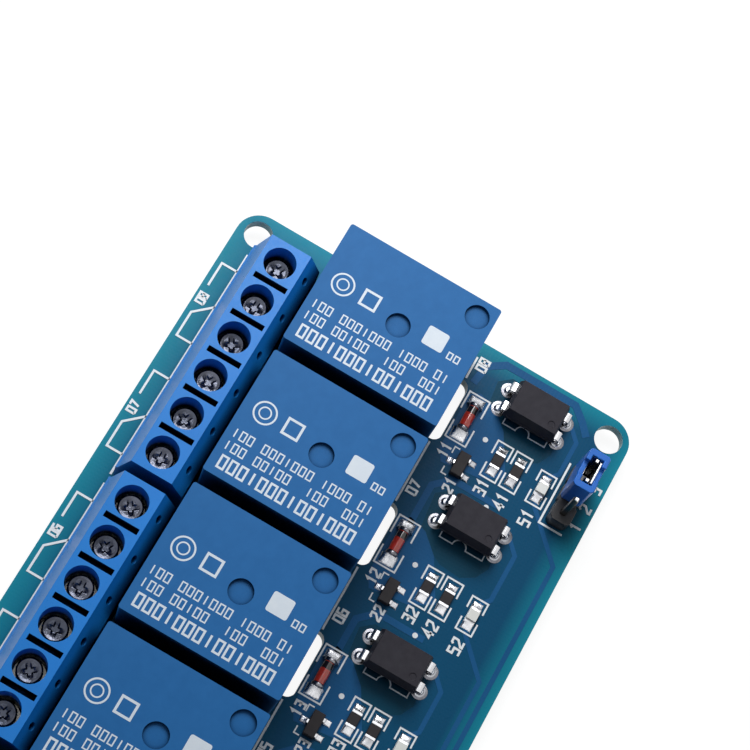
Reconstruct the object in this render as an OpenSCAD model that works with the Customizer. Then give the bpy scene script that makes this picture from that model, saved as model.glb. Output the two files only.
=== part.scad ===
// Eight-channel relay module board.
// X runs along the board, Y across it towards the screw terminals, Z up.
// The origin is under the board's middle, at the level of the pin tips that it rests on.

/* [Board] */
// Bare board beyond the row of relays, at each end
relay_margin = 1.625; // [1.5:0.125:6]
// Bare board beyond the row of terminal blocks, at each end
block_margin = 6.12; // [5:0.01:9]
// Distance from the headers' pins to the board's edge
header_margin = 3.43; // [2:0.01:6]
// Thickness of the board
board_t = 1.6; // [1.2:0.1:2.4]
// Radius of the board's corners
corner_r = 3; // [1:0.5:5]
// Diameter of the four fixing holes
hole_d = 3.4; // [2.4:0.1:3.6]
// Distance from a fixing hole's centre to both edges beside it
hole_inset = 2.6; // [2.4:0.1:3]
// Length of the pin tails below the board
tail_l = 1.6; // [1.2:0.1:2.4]

/* [Screw terminals] */
// Distance from the board's edge to the front of the terminal blocks
block_setback = 3.2; // [1:0.1:3.4]
// Depth of a terminal block at its foot
block_d = 8.1; // [7.9:0.1:8.4]
// Height of a terminal block above the board
block_h = 10; // [9.4:0.1:12]
// Depth of the flat top of a terminal block
block_top_d = 5; // [4.6:0.1:5.2]
// Distance from the front of the foot to the front of the flat top
block_top_setback = 1.6; // [1:0.1:1.8]
// Height of the upright part of the block's front
block_front_h = 4.4; // [4:0.1:5]
// Height of the upright part of the block's back
block_back_h = 7.2; // [6.5:0.1:7.6]
// Distance between the poles of a terminal block
pole_pitch = 5.08; // [5:0.01:5.2]
// Gap between neighbouring terminal blocks
block_between = 1.28; // [0.3:0.01:3]
// Shift of the row of terminal blocks along the board
block_row_shift = 0.45; // [0:0.05:0.6]
// Diameter of the wells that the screws sit in
well_d = 3.7; // [3.6:0.1:4.2]
// Diameter of a screw's head
screw_head_d = 2.9; // [2.7:0.1:3.4]
// Depth of a screw's head below the block's top
screw_depth = 2.5; // [1:0.1:2.8]
// Thickness of a screw's head
screw_head_t = 1.1; // [0.8:0.1:1.3]
// Diameter of a screw's thread
screw_d = 2.4; // [2:0.1:2.6]
// Width of a wire entry
mouth_w = 4; // [3.8:0.1:4.2]
// Height of a wire entry
mouth_h = 3.4; // [3:0.1:3.5]
// Height of a wire entry's sill above the board
mouth_z = 0.9; // [0.8:0.1:1.2]
// Depth of a wire entry
mouth_d = 6.4; // [6:0.1:6.8]

/* [Relays] */
// Length of a relay across the board
relay_l = 19; // [18.6:0.1:19.2]
// Width of a relay along the board
relay_w = 15.4; // [15:0.1:16]
// Height of a relay above the board
relay_h = 15.3; // [14.8:0.1:17]
// Wall of a relay's cover
relay_wall = 0.7; // [0.5:0.1:0.8]
// Gap between neighbouring relays
relay_between = 1.65; // [0.5:0.05:3]
// Gap between the terminal blocks and the relays
relay_gap = 0.67; // [0.3:0.01:1]
// Shift of the row of relays along the board
relay_row_shift = -0.35; // [-0.5:0.05:0]
// Thickness of the base inside a relay
relay_base_t = 1.5; // [1.2:0.1:2]
// Travel of a relay's armature at the core's far edge
armature_gap = 0.3; // [0.2:0.05:0.4]
// Length of the isolation slot beside a relay
slot_l = 8.2; // [6:0.1:8.5]
// Width of the isolation slot beside a relay
slot_w = 2.2; // [1.2:0.1:2.2]

/* [Drivers] */
// Distance from the relays to the optocouplers' bodies
opto_setback = 6.2; // [6:0.1:8]
// Distance from the optocouplers to the chip lamps' middles
led_setback = 1.65; // [1.3:0.05:3]
// Distance from the relays to the diodes' middles
diode_setback = 3.1; // [2.9:0.1:4]
// Distance from the relays to the transistors' middles
transistor_setback = 4.9; // [4.6:0.1:5.6]
// Distance between the middles of a channel's two resistors
resistor_spacing = 2.5; // [1.8:0.1:3]
// Length of an optocoupler across the board
opto_l = 6.5; // [6:0.1:6.8]
// Width of an optocoupler along the board
opto_w = 4.5; // [4.2:0.1:4.8]
// Height of an optocoupler's top above the board
opto_h = 3.7; // [3.4:0.1:4.2]
// Distance between an optocoupler's two rows of leads
opto_row = 7.62; // [7.5:0.02:8]
// Pitch of the leads and of the header pins
pin_pitch = 2.54; // [2.5:0.01:2.6]
// Length of a chip resistor
chip_l = 2; // [1.8:0.1:2.2]
// Width of a chip resistor
chip_w = 1.25; // [1:0.05:1.4]
// Thickness of a chip resistor
chip_t = 0.55; // [0.4:0.05:0.7]
// Diameter of a glass diode
diode_d = 1.45; // [1.2:0.05:1.5]
// Length of a glass diode
diode_l = 3.5; // [3.2:0.1:3.7]
// Length of a transistor's body
transistor_l = 2.9; // [2.7:0.1:3.1]
// Width of a transistor's body
transistor_w = 1.35; // [1.2:0.05:1.5]

/* [Headers] */
// Gap between the chip lamps and the headers' strips
header_gap = 1.355; // [0.5:0.005:3]
// Distance from the board's end to the middle of the jumper header
jumper_setback = 11.4; // [9:0.1:20]
// Side of a square header pin
pin_side = 0.64; // [0.6:0.02:0.7]
// Height of a header's plastic strip
strip_h = 2.5; // [2.3:0.1:2.6]
// Length of a header pin above its strip
pin_free = 6; // [5.8:0.1:6.4]
// Number of pins on the input header
input_pins = 10; // [4:1:12]
// Length of the jumper cap
cap_l = 4.9; // [4.8:0.1:5.2]
// Width of the jumper cap
cap_w = 2.6; // [2.5:0.05:2.8]
// Height of the jumper cap
cap_h = 6; // [5.6:0.1:6.4]

/* [Hidden] */
$fn = 48;
tiny = 0.01;
// How far a cut reaches past the face that it opens
over = 1;

channels = 8;
blocks = 4;
poles = 6;

board_z = tail_l;
top_z = board_z + board_t;

// The board is as long as the longer of its two rows needs, and as wide as what stands across it.
block_l = poles * pole_pitch;
block_pitch = block_l + block_between;
relay_pitch = relay_w + relay_between;
relay_row_l = channels * relay_pitch - relay_between + 2 * relay_margin;
block_row_l = blocks * block_pitch - block_between + 2 * block_margin;
board_l = max(relay_row_l, block_row_l);
driver_w = opto_setback + opto_l + led_setback + chip_w / 2 + header_gap + pin_pitch / 2 + header_margin;
board_w = block_setback + block_d + relay_gap + relay_l + driver_w;

// Rows across the board, each placed from the pieces beside it.
block_front_y = board_w / 2 - block_setback;
block_back_y = block_front_y - block_d;
block_top_y = block_front_y - block_top_setback;
screw_shift = 0.1;
screw_y = block_top_y - block_top_d / 2 + screw_shift;
relay_y = block_back_y - relay_gap - relay_l / 2;
relay_face_y = relay_y - relay_l / 2;
slot_outset = 0.4;
slot_y = relay_face_y - slot_outset;
diode_y = relay_face_y - diode_setback;
transistor_y = relay_face_y - transistor_setback;
opto_y = relay_face_y - opto_setback - opto_l / 2;
resistor_y = [opto_y + resistor_spacing * 0.42, opto_y - resistor_spacing * 0.58];
led_y = opto_y - opto_l / 2 - led_setback;
header_y = led_y - chip_w / 2 - header_gap - pin_pitch / 2;

// Offsets of a channel's small parts from its relay's middle, along the board.
slot_dx = 0.3;
diode_dx = 0.5;
transistor_dx = -4.9;
resistor_dx = -2.2;
led_dx = -2.4;
opto_dx = [5.5, 5.5, 5.5, 5.5, 5.5, 5.5, 6.3, 4.8];

// Jumper header, measured from the board's end.
jumper_pins = 3;
jumper_x = board_l / 2 - jumper_setback;
cap_x = jumper_x + pin_pitch / 2;

// Relay pins, from the relay's middle: across the board, then along it.
relay_pin_w = 1;
relay_pin_t = 0.5;
pin_margin = 0.5;
end_margin = 1.7;
coil_step = 2;
com_a = -relay_l / 2 + relay_wall + end_margin;
coil_a = com_a + coil_step;
contact_a = relay_l / 2 - relay_wall - end_margin;
side_b = relay_w / 2 - relay_wall - pin_margin - relay_pin_w / 2;
relay_pin_places = [[com_a, 0], [coil_a, side_b], [coil_a, -side_b], [contact_a, side_b], [contact_a, -side_b]];
pin_short = 0.3;
pin_stand = 0.6;

// Inside a relay: the base's top, then the stack of contacts counted down from the cover's roof.
inner_z = top_z + relay_base_t;
roof_z = top_z + relay_h - relay_wall;
roof_gap = 0.66;
strap_t = 0.4;
strap_w = 1.4;
rivet_t = 0.4;
contact_play = 0.04;
button_t = 0.6;
button_r = 0.9;
leaf_t = 0.3;
leaf_w = 3;
plate_t = 1;
contact_z = roof_z - roof_gap - strap_t - rivet_t;
leaf_z = contact_z - contact_play - button_t - leaf_t;
hinge_z = leaf_z - plate_t;
pole_z = hinge_z - armature_gap;

// The coil stands beside the yoke's wall, and the buttons meet above the far pins.
yoke_t = 1;
yoke_inset = 1;
plate_inset = 1.4;
coil_w = 9;
core_r = 1.5;
sleeve_t = 0.6;
pole_r = 3;
pole_t = 0.8;
flange_t = 0.7;
winding_r = 4.2;
coil_gap = 0.3;
yoke_a = com_a + relay_pin_t / 2 + 0.25 + yoke_t / 2;
coil_a0 = yoke_a + yoke_t / 2 + coil_gap + coil_w / 2;
button_a = contact_a - relay_pin_t;
arm_r = button_a - yoke_a;
throw_deg = atan(armature_gap * 0.9 / (coil_a0 + pole_r - yoke_a));
button_drop = (arm_r + button_r) * sin(throw_deg);

// Small parts.
running = 0.05;
joint_r = 0.95;
wide_joint_r = 1.235;
joint_h = 0.7;
pin_hole = 0.06;
cage_wall = 0.5;
cage_seat = 0.15;
shelf_t = 0.4;
cage_w = mouth_w - 2 * running;
cage_h = mouth_h - 0.3;
cage_d = 3.6;
terminal_pin_w = 0.9;
slit_w = 0.7;
slit_l = 4.1;
slit_depth = 2;
slit_shift = -0.2;
brow_in = 0.3;
brow_h = 0.4;
recess_w = 0.55;
recess_depth = 0.6;
screw_sill = 1.6;
test_hole_r = 0.5;
test_hole_l = 4.4;
test_hole_dx = 0.1;
test_hole_in = 0.9;
test_hole_down = 1.4;
cover_r = 0.3;
base_seat = 0.2;
dimple_r = 1.4;
dimple_depth = 0.45;
dimple_places = [[-0.5, 0.1], [-7.45, 5.6]];
diode_cap_l = 0.45;
glass_step = 0.1;
chip_end_l = 0.35;
opto_seat = 0.4;
opto_split = 0.48;
mark_inset = 1.15;
mark_r = 0.4;
mark_depth = 0.12;
lead_stop = 0.3;
lead_t = 0.25;
lead_w = 1.1;
lead_tip_w = 0.5;
transistor_h = 1.05;
transistor_pitch = 0.95;
transistor_reach = 1.2;
transistor_seat = 0.1;
wing_w = 0.42;
wing_t = 0.13;
wing_z = 0.4;
wing_out = 0.2;
wing_bend = 0.25;
pad_t = 0.05;
strip_bevel = 0.4;
cap_wall = 0.6;
cap_end_wall = 0.8;
cap_bevel = 0.3;
cap_notch_l = 1.8;
cap_notch_h = 0.8;
clip_t = 0.2;
clip_low = 1;
clip_sunk = 0.2;
clip_past = 0.1;
clip_web = 1.6;

// Places along the board, numbered from one at the -X end.
function relay_x(k) = (k - (channels + 1) / 2) * relay_pitch + relay_row_shift;
function block_x(k) = (k - (blocks + 1) / 2) * block_pitch + block_row_shift;
function pole_dx(p) = (p - (poles + 1) / 2) * pole_pitch;
function pole_x(k, p) = block_x(k) + pole_dx(p);
function opto_x(k) = relay_x(k) + opto_dx[k - 1];
function header_x(x, pins, p) = x + (p - (pins + 1) / 2) * pin_pitch;

// Every hole through the board for a lead: its place and its lead's half width.
relay_holes = [for (k = [1:channels], p = relay_pin_places) [relay_x(k) + p[1], relay_y + p[0]]];
terminal_holes = [for (k = [1:blocks], p = [1:poles]) [pole_x(k, p), screw_y]];
opto_holes = [for (k = [1:channels], sx = [-1, 1], sy = [-1, 1])
    [opto_x(k) + sx * pin_pitch / 2, opto_y + sy * opto_row / 2]];
input_holes = [for (p = [1:input_pins]) [header_x(0, input_pins, p), header_y]];
jumper_holes = [for (p = [1:jumper_pins]) [header_x(jumper_x, jumper_pins, p), header_y]];

// A box that spans the given middle in X and Y and stands on z.
module block_at(x, y, z, w, d, h) {
    translate([x - w / 2, y - d / 2, z])
        cube([w, d, h]);
}

// A plate with round corners, standing on z = 0.
module round_plate(w, d, r, h) {
    linear_extrude(h)
        union() {
            square([w - 2 * r, d], center = true);
            square([w, d - 2 * r], center = true);
            for (sx = [-1, 1], sy = [-1, 1])
                translate([sx * (w / 2 - r), sy * (d / 2 - r)])
                    circle(r);
        }
}

module lead_holes(places, r) {
    for (p = places)
        translate([p[0], p[1], board_z - over])
            cylinder(r = r, h = board_t + 2 * over, $fn = 24);
}

module slot_cut(k) {
    run = slot_l / 2 - slot_w / 2;
    translate([relay_x(k) + slot_dx, slot_y, board_z - over]) {
        block_at(0, 0, 0, 2 * run, slot_w, board_t + 2 * over);
        for (s = [-1, 1])
            translate([s * run, 0, 0])
                cylinder(d = slot_w, h = board_t + 2 * over);
    }
}

module pcb() {
    color([0.05, 0.4, 0.55])
        difference() {
            translate([0, 0, board_z])
                round_plate(board_l, board_w, corner_r, board_t);
            for (sx = [-1, 1], sy = [-1, 1])
                translate([sx * (board_l / 2 - hole_inset), sy * (board_w / 2 - hole_inset), board_z - over])
                    cylinder(d = hole_d, h = board_t + 2 * over);
            for (k = [1:channels])
                slot_cut(k);
            lead_holes(relay_holes, relay_pin_w / 2 + pin_hole);
            lead_holes(terminal_holes, terminal_pin_w / 2 * sqrt(2) + pin_hole);
            lead_holes(opto_holes, lead_tip_w / 2 * sqrt(2) + pin_hole);
            lead_holes(concat(input_holes, jumper_holes), pin_side / 2 * sqrt(2) + pin_hole);
        }
}

// Solder cones under the board, each with its lead's own hole through it.
module solder_cone(r, h) {
    translate([0, 0, board_z])
        rotate([180, 0, 0])
            cylinder(r1 = r, r2 = r * 0.5, h = h);
}

module solder_row(places, w, d, r) {
    for (p = places)
        translate([p[0], p[1], 0])
            difference() {
                solder_cone(r, joint_h);
                block_at(0, 0, board_z - joint_h - over, w, d, joint_h + 2 * over);
            }
}

module solder_joints() {
    color([0.78, 0.78, 0.8]) {
        solder_row(relay_holes, relay_pin_w, relay_pin_t, wide_joint_r);
        solder_row(terminal_holes, terminal_pin_w, terminal_pin_w, wide_joint_r);
        solder_row(opto_holes, lead_tip_w, lead_t, joint_r);
        solder_row(concat(input_holes, jumper_holes), pin_side, pin_side, joint_r);
    }
}

// Outline of a terminal block seen from its end: front at zero, running back along -Y.
block_profile = [[0, 0], [0, block_front_h], [-brow_in, block_front_h + brow_h],
    [-block_top_setback, block_h], [-block_top_setback - block_top_d, block_h],
    [-block_d, block_back_h], [-block_d, 0]];
back_slope = atan((block_d - block_top_setback - block_top_d) / (block_h - block_back_h));

module terminal_block(k) {
    color([0.15, 0.45, 0.85])
        difference() {
            translate([block_x(k) - block_l / 2, block_front_y, top_z])
                rotate([90, 0, 90])
                    linear_extrude(block_l)
                        polygon(block_profile);
            for (p = [1:poles])
                translate([pole_x(k, p), 0, 0])
                    pole_cut();
            for (p = [1:poles - 1])
                block_at(pole_x(k, p) + pole_pitch / 2, screw_y + slit_shift, top_z + block_h - slit_depth,
                    slit_w, slit_l, slit_depth + over);
        }
}

// What is cut away for one pole: the wire entry, the screw's well, the pin's slot and a test hole.
module pole_cut() {
    block_at(0, block_front_y - (mouth_d - over) / 2, top_z + mouth_z, mouth_w, mouth_d + over, mouth_h);
    translate([0, screw_y, top_z + mouth_z + mouth_h - over])
        cylinder(d = well_d, h = block_h);
    block_at(0, screw_y, top_z - over, terminal_pin_w + 2 * running, terminal_pin_w + 2 * running,
        mouth_z + 2 * over);
    translate([test_hole_dx, block_back_y + test_hole_in, top_z + block_h - test_hole_down])
        rotate([90 - back_slope, 0, 0])
            cylinder(r = test_hole_r, h = test_hole_l, center = true);
}

module terminal_screw() {
    head_z = top_z + block_h - screw_depth - screw_head_t;
    tip_z = top_z + mouth_z + screw_sill;
    difference() {
        union() {
            translate([0, 0, head_z])
                cylinder(d = screw_head_d, h = screw_head_t);
            translate([0, 0, tip_z])
                cylinder(d = screw_d, h = head_z - tip_z + tiny);
        }
        for (turn = [0, 90])
            translate([0, 0, head_z + screw_head_t])
                rotate([0, 0, turn])
                    block_at(0, 0, -recess_depth, screw_head_d * 0.62, recess_w, over);
    }
}

module terminal_screws() {
    color([0.75, 0.75, 0.78])
        for (k = [1:blocks], p = [1:poles])
            translate([pole_x(k, p), screw_y, 0])
                rotate([0, 0, 45 + 37 * p + 23 * k])
                    terminal_screw();
}

// A clamp cage: a square loop of sheet that the screw pulls up under the wire.
module terminal_cage() {
    z = top_z + mouth_z + cage_seat;
    difference() {
        block_at(0, screw_y, z, cage_w, cage_d, cage_h);
        block_at(0, screw_y, z + cage_wall, cage_w - 2 * cage_wall, cage_d + over, cage_h - 2 * cage_wall);
        translate([0, screw_y, z + cage_h / 2])
            cylinder(d = screw_d + 2 * running, h = cage_h);
        block_at(0, screw_y, z - over, terminal_pin_w + 2 * running, terminal_pin_w + 2 * running, 2 * over);
    }
}

module terminal_cages() {
    color([0.8, 0.78, 0.7])
        for (k = [1:blocks], p = [1:poles])
            translate([pole_x(k, p), 0, 0])
                terminal_cage();
}

// A solder pin with the small shelf inside the cage that the wire is pressed on.
module terminal_pins() {
    shelf_z = top_z + mouth_z + cage_seat + cage_wall;
    color([0.8, 0.8, 0.82])
        for (h = terminal_holes) {
            block_at(h[0], h[1], 0, terminal_pin_w, terminal_pin_w, shelf_z + tiny);
            block_at(h[0], h[1], shelf_z, cage_w - 2 * cage_wall - 2 * running, cage_d, shelf_t);
        }
}

// Turns a relay's own frame, across the board then along it, into the board's.
module on_relay(k) {
    translate([relay_x(k), relay_y, 0])
        children();
}

module relay_cover(k) {
    color([0.2, 0.42, 0.68])
        on_relay(k)
            difference() {
                translate([0, 0, top_z])
                    round_plate(relay_w, relay_l, cover_r, relay_h);
                block_at(0, 0, top_z - over, relay_w - 2 * relay_wall, relay_l - 2 * relay_wall,
                    relay_h - relay_wall + over);
                for (p = dimple_places)
                    translate([p[1], p[0], top_z + relay_h - dimple_depth])
                        cylinder(r = dimple_r, h = over);
            }
}

module relay_base(k) {
    gap = relay_wall + running;
    color([0.15, 0.2, 0.3])
        on_relay(k)
            difference() {
                block_at(0, 0, top_z + base_seat, relay_w - 2 * gap, relay_l - 2 * gap, relay_base_t - base_seat);
                for (p = relay_pin_places)
                    block_at(p[1], p[0], top_z - over, relay_pin_w, relay_pin_t, relay_base_t + 2 * over);
            }
}

module relay_pins() {
    color([0.8, 0.8, 0.82])
        for (h = relay_holes)
            block_at(h[0], h[1], pin_short, relay_pin_w, relay_pin_t, inner_z + pin_stand - pin_short);
}

// The bobbin's lower flange rests on the yoke's foot and its upper one carries the core's pole.
module relay_bobbins() {
    foot_z = inner_z + yoke_t;
    top = pole_z - pole_t;
    color([0.85, 0.83, 0.75])
        for (k = [1:channels])
            on_relay(k)
                difference() {
                    union() {
                        block_at(0, coil_a0, foot_z, coil_w, coil_w, flange_t);
                        block_at(0, coil_a0, top - flange_t, coil_w, coil_w, flange_t);
                        translate([0, coil_a0, foot_z])
                            cylinder(r = core_r + sleeve_t, h = top - foot_z);
                    }
                    translate([0, coil_a0, foot_z - over])
                        cylinder(r = core_r, h = top - foot_z + 2 * over);
                }
}

module relay_windings() {
    low = inner_z + yoke_t + flange_t;
    high = pole_z - pole_t - flange_t;
    color([0.72, 0.4, 0.2])
        for (k = [1:channels])
            on_relay(k)
                translate([0, coil_a0, low])
                    difference() {
                        cylinder(r = winding_r, h = high - low);
                        translate([0, 0, -over])
                            cylinder(r = core_r + sleeve_t, h = high - low + 2 * over);
                    }
}

module relay_cores() {
    low = inner_z + yoke_t;
    color([0.6, 0.6, 0.62])
        for (k = [1:channels])
            on_relay(k)
                translate([0, coil_a0, 0]) {
                    translate([0, 0, low])
                        cylinder(r = core_r, h = pole_z - low);
                    translate([0, 0, pole_z - pole_t])
                        cylinder(r = pole_r, h = pole_t);
                }
}

// An L of iron: a foot under the coil and a wall that the armature hinges on.
module relay_yokes() {
    foot_l = coil_a0 + core_r + yoke_t - yoke_a;
    color([0.55, 0.55, 0.57])
        for (k = [1:channels])
            on_relay(k) {
                block_at(0, yoke_a + foot_l / 2 - yoke_t / 2, inner_z, coil_w - yoke_inset, foot_l, yoke_t);
                block_at(0, yoke_a, inner_z, coil_w - yoke_inset, yoke_t, hinge_z - running - inner_z);
            }
}

// The armature plate, its return leaf and the moving contact button, as one riveted piece.
module relay_armature(k) {
    plate_l = coil_a0 + pole_r + yoke_t * 0.4 - yoke_a;
    color([0.62, 0.58, 0.45])
        on_relay(k) {
            block_at(0, yoke_a + plate_l / 2 - yoke_t / 2, hinge_z, coil_w - plate_inset, plate_l, plate_t);
            block_at(0, (yoke_a + button_a) / 2 + button_r, leaf_z, leaf_w, arm_r, leaf_t);
            translate([0, button_a, leaf_z - button_t])
                cylinder(r = button_r, h = leaf_t + 2 * button_t);
        }
}

// One fixed contact: a button on a strap that runs down to its pin, on the side given by s.
module fixed_contact(s, button_z, strap_z) {
    foot_z = inner_z + pin_stand;
    translate([0, button_a, button_z])
        cylinder(r = button_r, h = rivet_t);
    block_at(s * side_b / 2, button_a, strap_z, side_b + relay_pin_w, strap_w, strap_t);
    block_at(s * side_b, button_a, foot_z, relay_pin_w, strap_w, strap_z + strap_t / 2 - foot_z);
}

// The upper contact presses on the moving button at rest, and the lower one waits below it.
module relay_contacts() {
    lower = leaf_z - button_t - contact_play - button_drop;
    color([0.8, 0.66, 0.4])
        for (k = [1:channels])
            on_relay(k) {
                fixed_contact(1, contact_z, contact_z + rivet_t);
                fixed_contact(-1, lower - rivet_t, lower - rivet_t - strap_t);
            }
}

// Moulded body with bevelled ends and a round pin mark, split at its lead frame.
module optocoupler(k) {
    mid = opto_h * opto_split;
    slope = 0.3;
    h = opto_h - opto_seat;
    profile = [[-opto_w / 2 + slope, 0], [opto_w / 2 - slope, 0], [opto_w / 2, mid - opto_seat],
        [opto_w / 2, mid - opto_seat + lead_t], [opto_w / 2 - slope, h], [-opto_w / 2 + slope, h],
        [-opto_w / 2, mid - opto_seat + lead_t], [-opto_w / 2, mid - opto_seat]];
    side = [[-opto_l / 2 + slope, 0], [opto_l / 2 - slope, 0], [opto_l / 2, mid - opto_seat],
        [opto_l / 2, mid - opto_seat + lead_t], [opto_l / 2 - slope, h], [-opto_l / 2 + slope, h],
        [-opto_l / 2, mid - opto_seat + lead_t], [-opto_l / 2, mid - opto_seat]];
    color([0.13, 0.13, 0.15])
        translate([opto_x(k), opto_y, top_z + opto_seat])
            difference() {
                intersection() {
                    translate([0, opto_l, 0])
                        rotate([90, 0, 0])
                            linear_extrude(2 * opto_l)
                                polygon(profile);
                    translate([-opto_w, 0, 0])
                        rotate([90, 0, 90])
                            linear_extrude(2 * opto_w)
                                polygon(side);
                }
                translate([-opto_w / 2 + mark_inset, -opto_l / 2 + mark_inset, h - mark_depth])
                    cylinder(r = mark_r, h = over);
            }
}

// Each lead leaves the body's side, bends down over a wide shoulder and narrows to its tail.
module optocoupler_lead(sy) {
    z = top_z + opto_h * opto_split;
    out = opto_row / 2 - opto_l / 2;
    translate([0, sy * (opto_l / 2 + out / 2 + lead_t / 4), 0])
        block_at(0, 0, z, lead_w, out + lead_t / 2, lead_t);
    block_at(0, sy * opto_row / 2, top_z + opto_seat, lead_w, lead_t, z - top_z - opto_seat + tiny);
    block_at(0, sy * opto_row / 2, lead_stop, lead_tip_w, lead_t, top_z + opto_seat - lead_stop + tiny);
}

module optocoupler_leads() {
    color([0.82, 0.82, 0.84])
        for (k = [1:channels], sx = [-1, 1], sy = [-1, 1])
            translate([opto_x(k) + sx * pin_pitch / 2, opto_y, 0])
                optocoupler_lead(sy);
}

module on_transistor(k) {
    translate([relay_x(k) + transistor_dx, transistor_y, top_z])
        children();
}

module transistors() {
    color([0.12, 0.12, 0.13])
        for (k = [1:channels])
            on_transistor(k)
                block_at(0, 0, transistor_seat, transistor_l, transistor_w, transistor_h - transistor_seat);
}

// Three flat gull-wing leads, one on the relay's side and two on the other.
// Each steps out of the body, down to the board and along it, on the side given by s.
module transistor_lead(s) {
    side = transistor_w / 2;
    foot_l = transistor_reach - side - wing_out;
    block_at(0, s * (side + wing_out / 2), wing_z, wing_w, wing_out, wing_t);
    block_at(0, s * (side + wing_bend), 0, wing_w, wing_t, wing_z + wing_t);
    block_at(0, s * (transistor_reach - foot_l / 2), 0, wing_w, foot_l, wing_t);
}

module transistor_leads() {
    color([0.85, 0.85, 0.86])
        for (k = [1:channels])
            on_transistor(k) {
                transistor_lead(1);
                for (s = [-1, 1])
                    translate([s * transistor_pitch, 0, 0])
                        transistor_lead(-1);
            }
}

module on_diode(k) {
    translate([relay_x(k) + diode_dx, diode_y, top_z + diode_d / 2])
        rotate([0, 90, 0])
            children();
}

module diodes() {
    glass_l = diode_l - 2 * diode_cap_l;
    color([0.7, 0.2, 0.15])
        for (k = [1:channels])
            on_diode(k)
                cylinder(d = diode_d - glass_step, h = glass_l, center = true);
}

module diode_caps() {
    color([0.8, 0.8, 0.82])
        for (k = [1:channels])
            on_diode(k)
                for (s = [-1, 1])
                    translate([0, 0, s * (diode_l - diode_cap_l) / 2])
                        cylinder(d = diode_d, h = diode_cap_l, center = true);
}

module resistors() {
    color([0.1, 0.1, 0.11])
        for (k = [1:channels], y = resistor_y)
            block_at(relay_x(k) + resistor_dx, y, top_z, chip_l - 2 * chip_end_l, chip_w, chip_t);
}

module resistor_ends() {
    color([0.82, 0.82, 0.84])
        for (k = [1:channels], y = resistor_y, s = [-1, 1])
            block_at(relay_x(k) + resistor_dx + s * (chip_l - chip_end_l) / 2, y, top_z,
                chip_end_l, chip_w, chip_t + pad_t);
}

// A chip lamp: a thin board with a clear, slightly narrower lens block on it.
module leds() {
    base_t = 0.3;
    lens_t = 0.5;
    lens_l = chip_l * 0.6;
    lens_w = chip_w * 0.95;
    color([0.92, 0.92, 0.85])
        for (k = [1:channels]) {
            block_at(relay_x(k) + led_dx, led_y, top_z, chip_l, chip_w, base_t);
            block_at(relay_x(k) + led_dx, led_y, top_z + base_t, lens_l, lens_w, lens_t);
        }
}

// A strip of plastic cells, one per pin, with bevelled corners between them.
module header_strip(x, pins) {
    bevel = strip_bevel;
    half = pin_pitch / 2;
    cell = [[-half, -half + bevel], [-half, half - bevel], [-half + bevel, half], [half - bevel, half],
        [half, half - bevel], [half, -half + bevel], [half - bevel, -half], [-half + bevel, -half]];
    color([0.1, 0.1, 0.11])
        difference() {
            for (p = [1:pins])
                translate([header_x(x, pins, p), header_y, top_z])
                    linear_extrude(strip_h)
                        polygon(cell);
            for (p = [1:pins])
                block_at(header_x(x, pins, p), header_y, top_z - over, pin_side, pin_side, strip_h + 2 * over);
        }
}

module header_pins() {
    color([0.85, 0.8, 0.6])
        for (h = concat(input_holes, jumper_holes))
            block_at(h[0], h[1], 0, pin_side, pin_side, top_z + strip_h + pin_free);
}

// An open-topped cap: a tube of plastic around the folded clip, with a finger notch in each long side.
module jumper_cap() {
    w = cap_l / 2;
    d = cap_w / 2;
    outline = [[-w, -d + cap_bevel], [-w, d - cap_bevel], [-w + cap_bevel, d], [w - cap_bevel, d],
        [w, d - cap_bevel], [w, -d + cap_bevel], [w - cap_bevel, -d], [-w + cap_bevel, -d]];
    color([0.15, 0.42, 0.85])
        translate([cap_x, header_y, top_z + strip_h])
            difference() {
                linear_extrude(cap_h)
                    polygon(outline);
                block_at(0, 0, -over, cap_l - 2 * cap_end_wall, cap_w - 2 * cap_wall, cap_h + 2 * over);
                block_at(0, 0, cap_h - cap_notch_h, cap_notch_l, cap_w + 2 * over, cap_notch_h + over);
            }
}

// The spring clip, folded to a U around the pins: a tall back leaf, a web between the pins and a low front leaf.
module jumper_clip() {
    length = pin_pitch + 2 * clip_past;
    depth = cap_w - 2 * cap_wall - 2 * running;
    leaf_y = (depth - clip_t) / 2;
    back_h = cap_h - clip_low - clip_sunk;
    front_h = back_h / 2;
    color([0.85, 0.85, 0.87])
        translate([cap_x, header_y, top_z + strip_h + clip_low]) {
            block_at(0, -leaf_y, 0, length, clip_t, back_h);
            block_at(0, leaf_y, 0, length, clip_t, front_h);
            block_at(0, 0, 0, clip_web, depth, clip_t);
        }
}

pcb();
solder_joints();
terminal_block(1);  // terminal_block_1
terminal_block(2);  // terminal_block_2
terminal_block(3);  // terminal_block_3
terminal_block(4);  // terminal_block_4
terminal_screws();
terminal_cages();
terminal_pins();
relay_cover(1);  // relay_cover_1
relay_cover(2);  // relay_cover_2
relay_cover(3);  // relay_cover_3
relay_cover(4);  // relay_cover_4
relay_cover(5);  // relay_cover_5
relay_cover(6);  // relay_cover_6
relay_cover(7);  // relay_cover_7
relay_cover(8);  // relay_cover_8
relay_base(1);  // relay_base_1
relay_base(2);  // relay_base_2
relay_base(3);  // relay_base_3
relay_base(4);  // relay_base_4
relay_base(5);  // relay_base_5
relay_base(6);  // relay_base_6
relay_base(7);  // relay_base_7
relay_base(8);  // relay_base_8
relay_armature(1);  // relay_armature_1
relay_armature(2);  // relay_armature_2
relay_armature(3);  // relay_armature_3
relay_armature(4);  // relay_armature_4
relay_armature(5);  // relay_armature_5
relay_armature(6);  // relay_armature_6
relay_armature(7);  // relay_armature_7
relay_armature(8);  // relay_armature_8
relay_bobbins();
relay_windings();
relay_cores();
relay_yokes();
relay_contacts();
relay_pins();
optocoupler(1);  // optocoupler_1
optocoupler(2);  // optocoupler_2
optocoupler(3);  // optocoupler_3
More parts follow.
